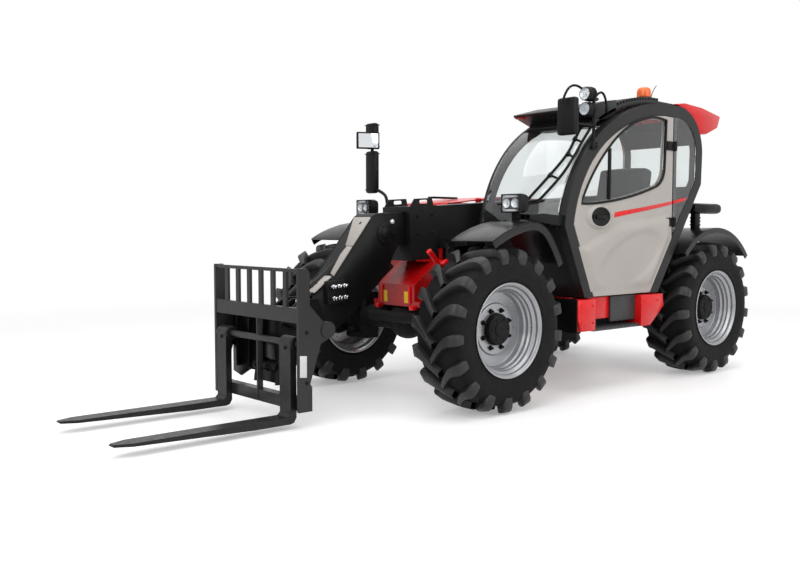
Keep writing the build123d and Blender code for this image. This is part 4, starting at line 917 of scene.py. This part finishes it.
def makeCarriage():
    makeOne("blank_plate", "plateWhite", "carriage", addSlab, fork["label"], fork["side"], 0.003, 0.0008)
    bm = bmesh.new()
    x = fork["backX"]
    addPlate(bm, [(x, y, z) for y, z in fork["back"]], (0.015, 0, 0), 0.003)
    low, high = fork["ribZ"]
    for y in fork["ribs"]:
        addBlock(bm, (x + 0.01, y - 0.007, low), (x + 0.05, y + 0.007, high), 0.003)
    (y0, y1), z = fork["cylinder"], fork["cylinderZ"]
    addRod(bm, (x + 0.04, y0, z), (x + 0.04, y1, z), 0.032, soft=0.004)
    for y in fork["bands"]:
        addRod(bm, (x + 0.04, y - 0.008, z), (x + 0.04, y + 0.008, z), 0.038, soft=0.003)
    makePiece(bm, "hitch_back", "blackPaint", "carriage")
    lock = [(x + 0.012, y, z) for y, z in fork["lock"]]
    makeOne("hitch_lock", "frameGrey", "carriage", addPlate, lock, (0.02, 0, 0), 0.004)
    bm = bmesh.new()
    pinX, pinZ = fork["pin"]
    for side in (1, -1):
        out = (0, side, 0)
        addLathe(bm, fork["cap"], soft=0.002, place=move(pinX, 0, pinZ) @ flipped(side))
        addBolts(bm, ringPoints((pinX, side * 0.163, pinZ), fork["capRing"], 3, 0.5), 0.009, out)
        addBolts(bm, [(2.665, side * fork["side"], z) for z in (0.62, 0.3)], 0.013, out)
    makePiece(bm, "carriage_bolts", "axleIron", "carriage")
    shaftX, shaftZ = fork["shaft"]
    for name, y in (("left_fork", fork["slide"]), ("right_fork", -fork["slide"])):
        bm = bmesh.new()
        for end in (-0.066, 0.066):
            addLathe(bm, [(0.0235, end - 0.006), (0.046, end - 0.006), (0.046, end + 0.006),
                          (0.0235, end + 0.006)], soft=0.0015, place=move(shaftX, y, shaftZ))
        addBolts(bm, [(2.7455, y, 0.52)], 0.014, (1, 0, 0))
        makePiece(bm, name + "_collars", "forkSteel", name)


makeInnerBoom()
makeBoom()
makeCarriage()
print("boom and carriage done")


# frame nose, step, tail and engine side

nose = dict(
    front=1.47, tags=[(-0.145, -0.1), (0.095, 0.14)], tagZ=(0.715, 0.803),
    pipe=[(1.2, 0.3, 1.02), (1.3, 0.38, 1.04), (1.42, 0.42, 0.99), (1.47, 0.43, 1.06), (1.53, 0.43, 1.115)],
    stepBolts=[(0.36, 0.56), (0.36, 0.69), (0.5, 0.56), (0.5, 0.69), (-0.31, 0.69), (-0.5, 0.69)])
tail = dict(
    pinCap=[(0.0, 0.228), (0.07, 0.228), (0.07, 0.24), (0.06, 0.248), (0.0, 0.248)], towX=-2.09,
    ring=[(0.0, 0.755), (0.0, 0.79), (0.05, 0.8), (0.06, 0.76), (0.03, 0.755)],
    bolts=[(y, z) for y in (-0.22, 0.22) for z in (0.6, 1.08)],
    plate=((-1.999, -0.17, 0.93), (-1.993, 0.17, 1.04)),
    podY=0.88, lens=((-1.618, -0.045, 1.43), (-1.598, 0.045, 1.476)),
    pod=((-1.61, -0.065, 1.408), (-1.155, 0.065, 1.498)), neck=((-1.3, -0.025, 1.272), (-1.22, 0.025, 1.428)),
    folds=(1.31, 1.34, 1.37))


def makeFrameFittings():
    bm = bmesh.new()
    x = nose["front"]
    low, high = nose["tagZ"]
    for y0, y1 in nose["tags"]:
        addBlock(bm, (x - 0.001, y0, low), (x + 0.002, y1, high), 0.0008)
    makePiece(bm, "nose_tags", "tagYellow")
    bm = bmesh.new()
    for side in (1, -1):
        addBlock(bm, (x - 0.03, side * 0.2 - 0.025, 0.665), (x + 0.03, side * 0.2 + 0.025, 0.7), 0.008)
        addBlock(bm, (x - 0.002, side * 0.16 - 0.012, 0.71), (x + 0.012, side * 0.16 + 0.012, 0.845), 0.003)
    addTube(bm, nose["pipe"], 0.021)
    addRod(bm, (1.2, 0.2, 1.015), (1.2, 0.31, 1.02), 0.021)
    addBolts(bm, [(boltX, 1.0045, boltZ) for boltX, boltZ in nose["stepBolts"]], 0.009)
    makePiece(bm, "frame_red_fittings", "redPaint")
    bm = bmesh.new()
    for side in (1, -1):
        addLathe(bm, tail["pinCap"], steps=44, soft=0.002, place=move(pivotX, 0, pivotZ) @ flipped(side))
        addBolts(bm, ringPoints((pivotX, side * 0.247, pivotZ), 0.045, 4, math.pi / 4), 0.011, (0, side, 0))
    addRod(bm, (tail["towX"], 0, 0.54), (tail["towX"], 0, 0.76), 0.0155, soft=0.003)
    addTube(bm, [(tail["towX"], y, z) for y, z in tail["ring"]], 0.005)
    addBolts(bm, [(-1.9945, y, z) for y, z in tail["bolts"]], 0.02, (-1, 0, 0))
    makePiece(bm, "frame_pins", "axleIron")
    makeOne("number_plate_blank", "plateWhite", "chassis", addBlock, *tail["plate"], 0.002)
    reds, pods = bmesh.new(), bmesh.new()
    for side in (tail["podY"], -tail["podY"]):
        place = move(0, side, 0)
        addBlock(reds, *tail["lens"], 0.006, place)
        addBlock(pods, *tail["pod"], 0.038, place)
        addBlock(pods, *tail["neck"], 0.006, place)
        for z in tail["folds"]:
            addBlock(pods, (-1.303, -0.028, z - 0.008), (-1.217, 0.028, z + 0.008), 0.003, place)
    makePiece(reds, "tail_lenses", "redLens")
    makePiece(pods, "tail_pods", "blackPlastic", stands=["rear_lamps"])


step = dict(
    front=[(0.33, 0.5), (0.33, 0.74), (0.545, 0.74), (0.545, 0.6), (0.5, 0.5)],
    rear=[(-0.27, 0.49), (-0.27, 0.74), (-0.575, 0.74), (-0.59, 0.64), (-0.4, 0.49)],
    width=(0.21, 1.005), teeth=24, firstTooth=-0.26, pitch=0.0245, rows=(0.816, 0.87, 0.93, 0.982),
    apron=((0.06, 0.915, 0.575), (0.332, 0.93, 0.745)), guard=((0.5445, 0.2, 0.49), (0.555, 1.0, 0.75)),
    box=((-0.272, 0.21, 0.5), (0.332, 0.82, 0.63)), board=((-0.272, 0.815, 0.49), (0.332, 0.99, 0.505)),
    kick=((-0.272, 0.93, 0.545), (0.062, 0.946, 0.745)))


def makeStep():
    bm = bmesh.new()
    y0, y1 = step["width"]
    for outline in (step["front"], step["rear"]):
        addSlab(bm, outline, y0, y1 - y0, 0.004)
    addBlock(bm, *step["apron"], 0.003)
    makePiece(bm, "step_brackets", "redPaint", stands=["step_box"])
    bm = bmesh.new()
    for part, soft in (("box", 0.004), ("board", 0.003), ("kick", 0.003)):
        addBlock(bm, *step[part], soft)
    for at in range(step["teeth"]):
        x = step["firstTooth"] + step["pitch"] * at
        for y in step["rows"]:
            addSlab(bm, [(x, 0.504), (x + 0.018, 0.504), (x + 0.013, 0.519), (x + 0.005, 0.519)], y, 0.007)
    makePiece(bm, "step_tread", "stepGrey")
    makeOne("step_guard", "blackPaint", "chassis", addBlock, *step["guard"], 0.003)


fender = dict(
    # upper face from back to front, in (x, z)
    line=[(0.774, 1.024), (0.8, 1.075), (0.85, 1.155), (0.91, 1.235), (0.97, 1.288), (1.04, 1.318),
          (1.12, 1.325), (1.22, 1.308), (1.323, 1.278), (1.4, 1.25), (1.462, 1.222), (1.52, 1.19)],
    inner=0.64, outer=1.045, thick=0.012, lip=0.06, skirt=0.1, skirtFrom=3,
    stays=[((1.075, 0.21, 1.172), (1.155, 0.648, 1.2)), ((1.075, 0.21, 0.91), (1.155, 0.23, 1.2)),
           ((1.075, 0.632, 1.172), (1.155, 0.648, 1.31))])


def makeFenders():
    bm = bmesh.new()
    inner, outer, thick = fender["inner"], fender["outer"], fender["thick"]
    for side in (1, -1):
        flip = flipped(side)
        addFold(bm, fender["line"], -thick, inner, outer, 0.004, flip)
        addFold(bm, fender["line"], -fender["lip"], outer - thick, outer, 0.004, flip)
        addFold(bm, fender["line"][fender["skirtFrom"]:-2], -fender["skirt"], inner, inner + thick, 0.003, flip)
        for low, high in fender["stays"]:
            addBlock(bm, low, high, 0.003, flip)
    makePiece(bm, "fender_shells", "fenderPlastic", stands=["front_fenders"], sharp=40.0)


bonnet = dict(slats=9, first=0.52, pitch=0.105, low=1.02, high=1.26, side=-0.9835, latches=(0.45, -0.35),
              scoop=((0.2, -0.7, 1.542), (0.5, -0.62, 1.5585)))


def makeBonnet():
    bm = bmesh.new()
    low, high = bonnet["low"], bonnet["high"]
    for at in range(bonnet["slats"]):
        x = bonnet["first"] - at * bonnet["pitch"]
        slat = [(x, low), (x - 0.07, low), (x - 0.05, high), (x + 0.02, high)]
        addSlab(bm, slat, bonnet["side"], -0.008, 0.003)
    for x in bonnet["latches"]:
        addBlock(bm, (x - 0.05, -0.998, 0.93), (x + 0.05, -0.983, 0.965), 0.006)
        addBlock(bm, (x - 0.03, -1.006, 0.938), (x + 0.03, -0.996, 0.957), 0.004)
    addBlock(bm, *bonnet["scoop"], 0.006)
    makePiece(bm, "bonnet_fittings", "blackPlastic", "bonnet_lid")


makeFrameFittings()
makeStep()
makeFenders()
makeBonnet()
print("frame and bonnet done")


# camera, floor and light

view = dict(place=(5.8605, 5.1128, 1.2712), yaw=229.087, pitch=-3.444, lens=39.94)
camera = bpy.data.cameras.new("camera")
camera.sensor_width = 36.0
camera.lens = view["lens"]
eye = addObject("camera", camera)
eye.location = view["place"]
eye.rotation_euler = (math.radians(90 + view["pitch"]), 0.0, math.radians(view["yaw"] - 90))
bpy.context.scene.camera = eye

studio = dict(sky=0.4, floorTone=0.78, floorGlow=0.3, floorSize=60.0, fadeFrom=4.5, fadeTo=9.5)
lamps = [
    dict(name="overhead", place=(0.5, 0.5, 8.0), aim=(0.5, 0.0, 0.0), size=9.0, power=480.0),
    dict(name="front", place=(7.5, 3.0, 5.0), aim=(0.8, 0.0, 0.8), size=6.0, power=290.0),
    dict(name="side", place=(-1.5, 8.5, 4.5), aim=(0.0, 0.4, 0.9), size=6.0, power=300.0),
]
for lamp in lamps:
    light = bpy.data.lights.new(lamp["name"], "AREA")
    light.shape = "SQUARE"
    light.size = lamp["size"]
    light.energy = lamp["power"]
    stand = addObject(lamp["name"], light)
    stand.location = lamp["place"]
    stand.rotation_euler = (Vector(lamp["aim"]) - Vector(lamp["place"])).to_track_quat("-Z", "Y").to_euler()


def addSeen(tree, unseen, seen):
    # one value for rays from the camera, from gloss and through glass, another for the rest
    rays = addNode(tree, "LightPath", {}).outputs
    total = rays["Is Camera Ray"]
    for kind in ("Is Glossy Ray", "Is Transmission Ray"):
        total = addNode(tree, "Math", {0: total, 1: rays[kind]}, "MAXIMUM").outputs["Value"]
    return addRange(tree, total, 0.0, 1.0, unseen, seen)


world = bpy.data.worlds.new("studio")
bpy.context.scene.world = world
world.use_nodes = True
tree = world.node_tree
setInputs(tree, tree.nodes["Background"], {"Color": (1.0, 1.0, 1.0, 1.0),
                                           "Strength": addSeen(tree, studio["sky"], 1.0)})

ground = bmesh.new()
bmesh.ops.create_grid(ground, x_segments=1, y_segments=1, size=studio["floorSize"])
floorMesh = bpy.data.meshes.new("floor")
ground.to_mesh(floorMesh)
ground.free()
floor = addObject("floor", floorMesh)
floorMat, tree, board, place = newFinish("floor")
setInputs(tree, board, {"Base Color": (studio["floorTone"],) * 3 + (1.0,), "Roughness": 0.45,
                        "Specular IOR Level": 0.25})
glow = addNode(tree, "Emission", {"Strength": addSeen(tree, 0.0, studio["floorGlow"])})
both = addNode(tree, "AddShader", {0: board.outputs["BSDF"], 1: glow.outputs["Emission"]})
# further out the floor runs into the white of the background
reach = addNode(tree, "VectorMath", {0: place}, "LENGTH")
white = addNode(tree, "Emission", {"Strength": addSeen(tree, studio["sky"], 1.0)})
share = addRange(tree, reach.outputs["Value"], studio["fadeFrom"], studio["fadeTo"], 0.0, 1.0)
fade = addNode(tree, "MixShader", {0: share, 1: both.outputs["Shader"], 2: white.outputs["Emission"]})
setInputs(tree, tree.nodes["Material Output"], {"Surface": fade.outputs["Shader"]})
floorMesh.materials.append(floorMat)
bpy.context.scene.view_settings.view_transform = "Standard"
print("camera, floor and light done")
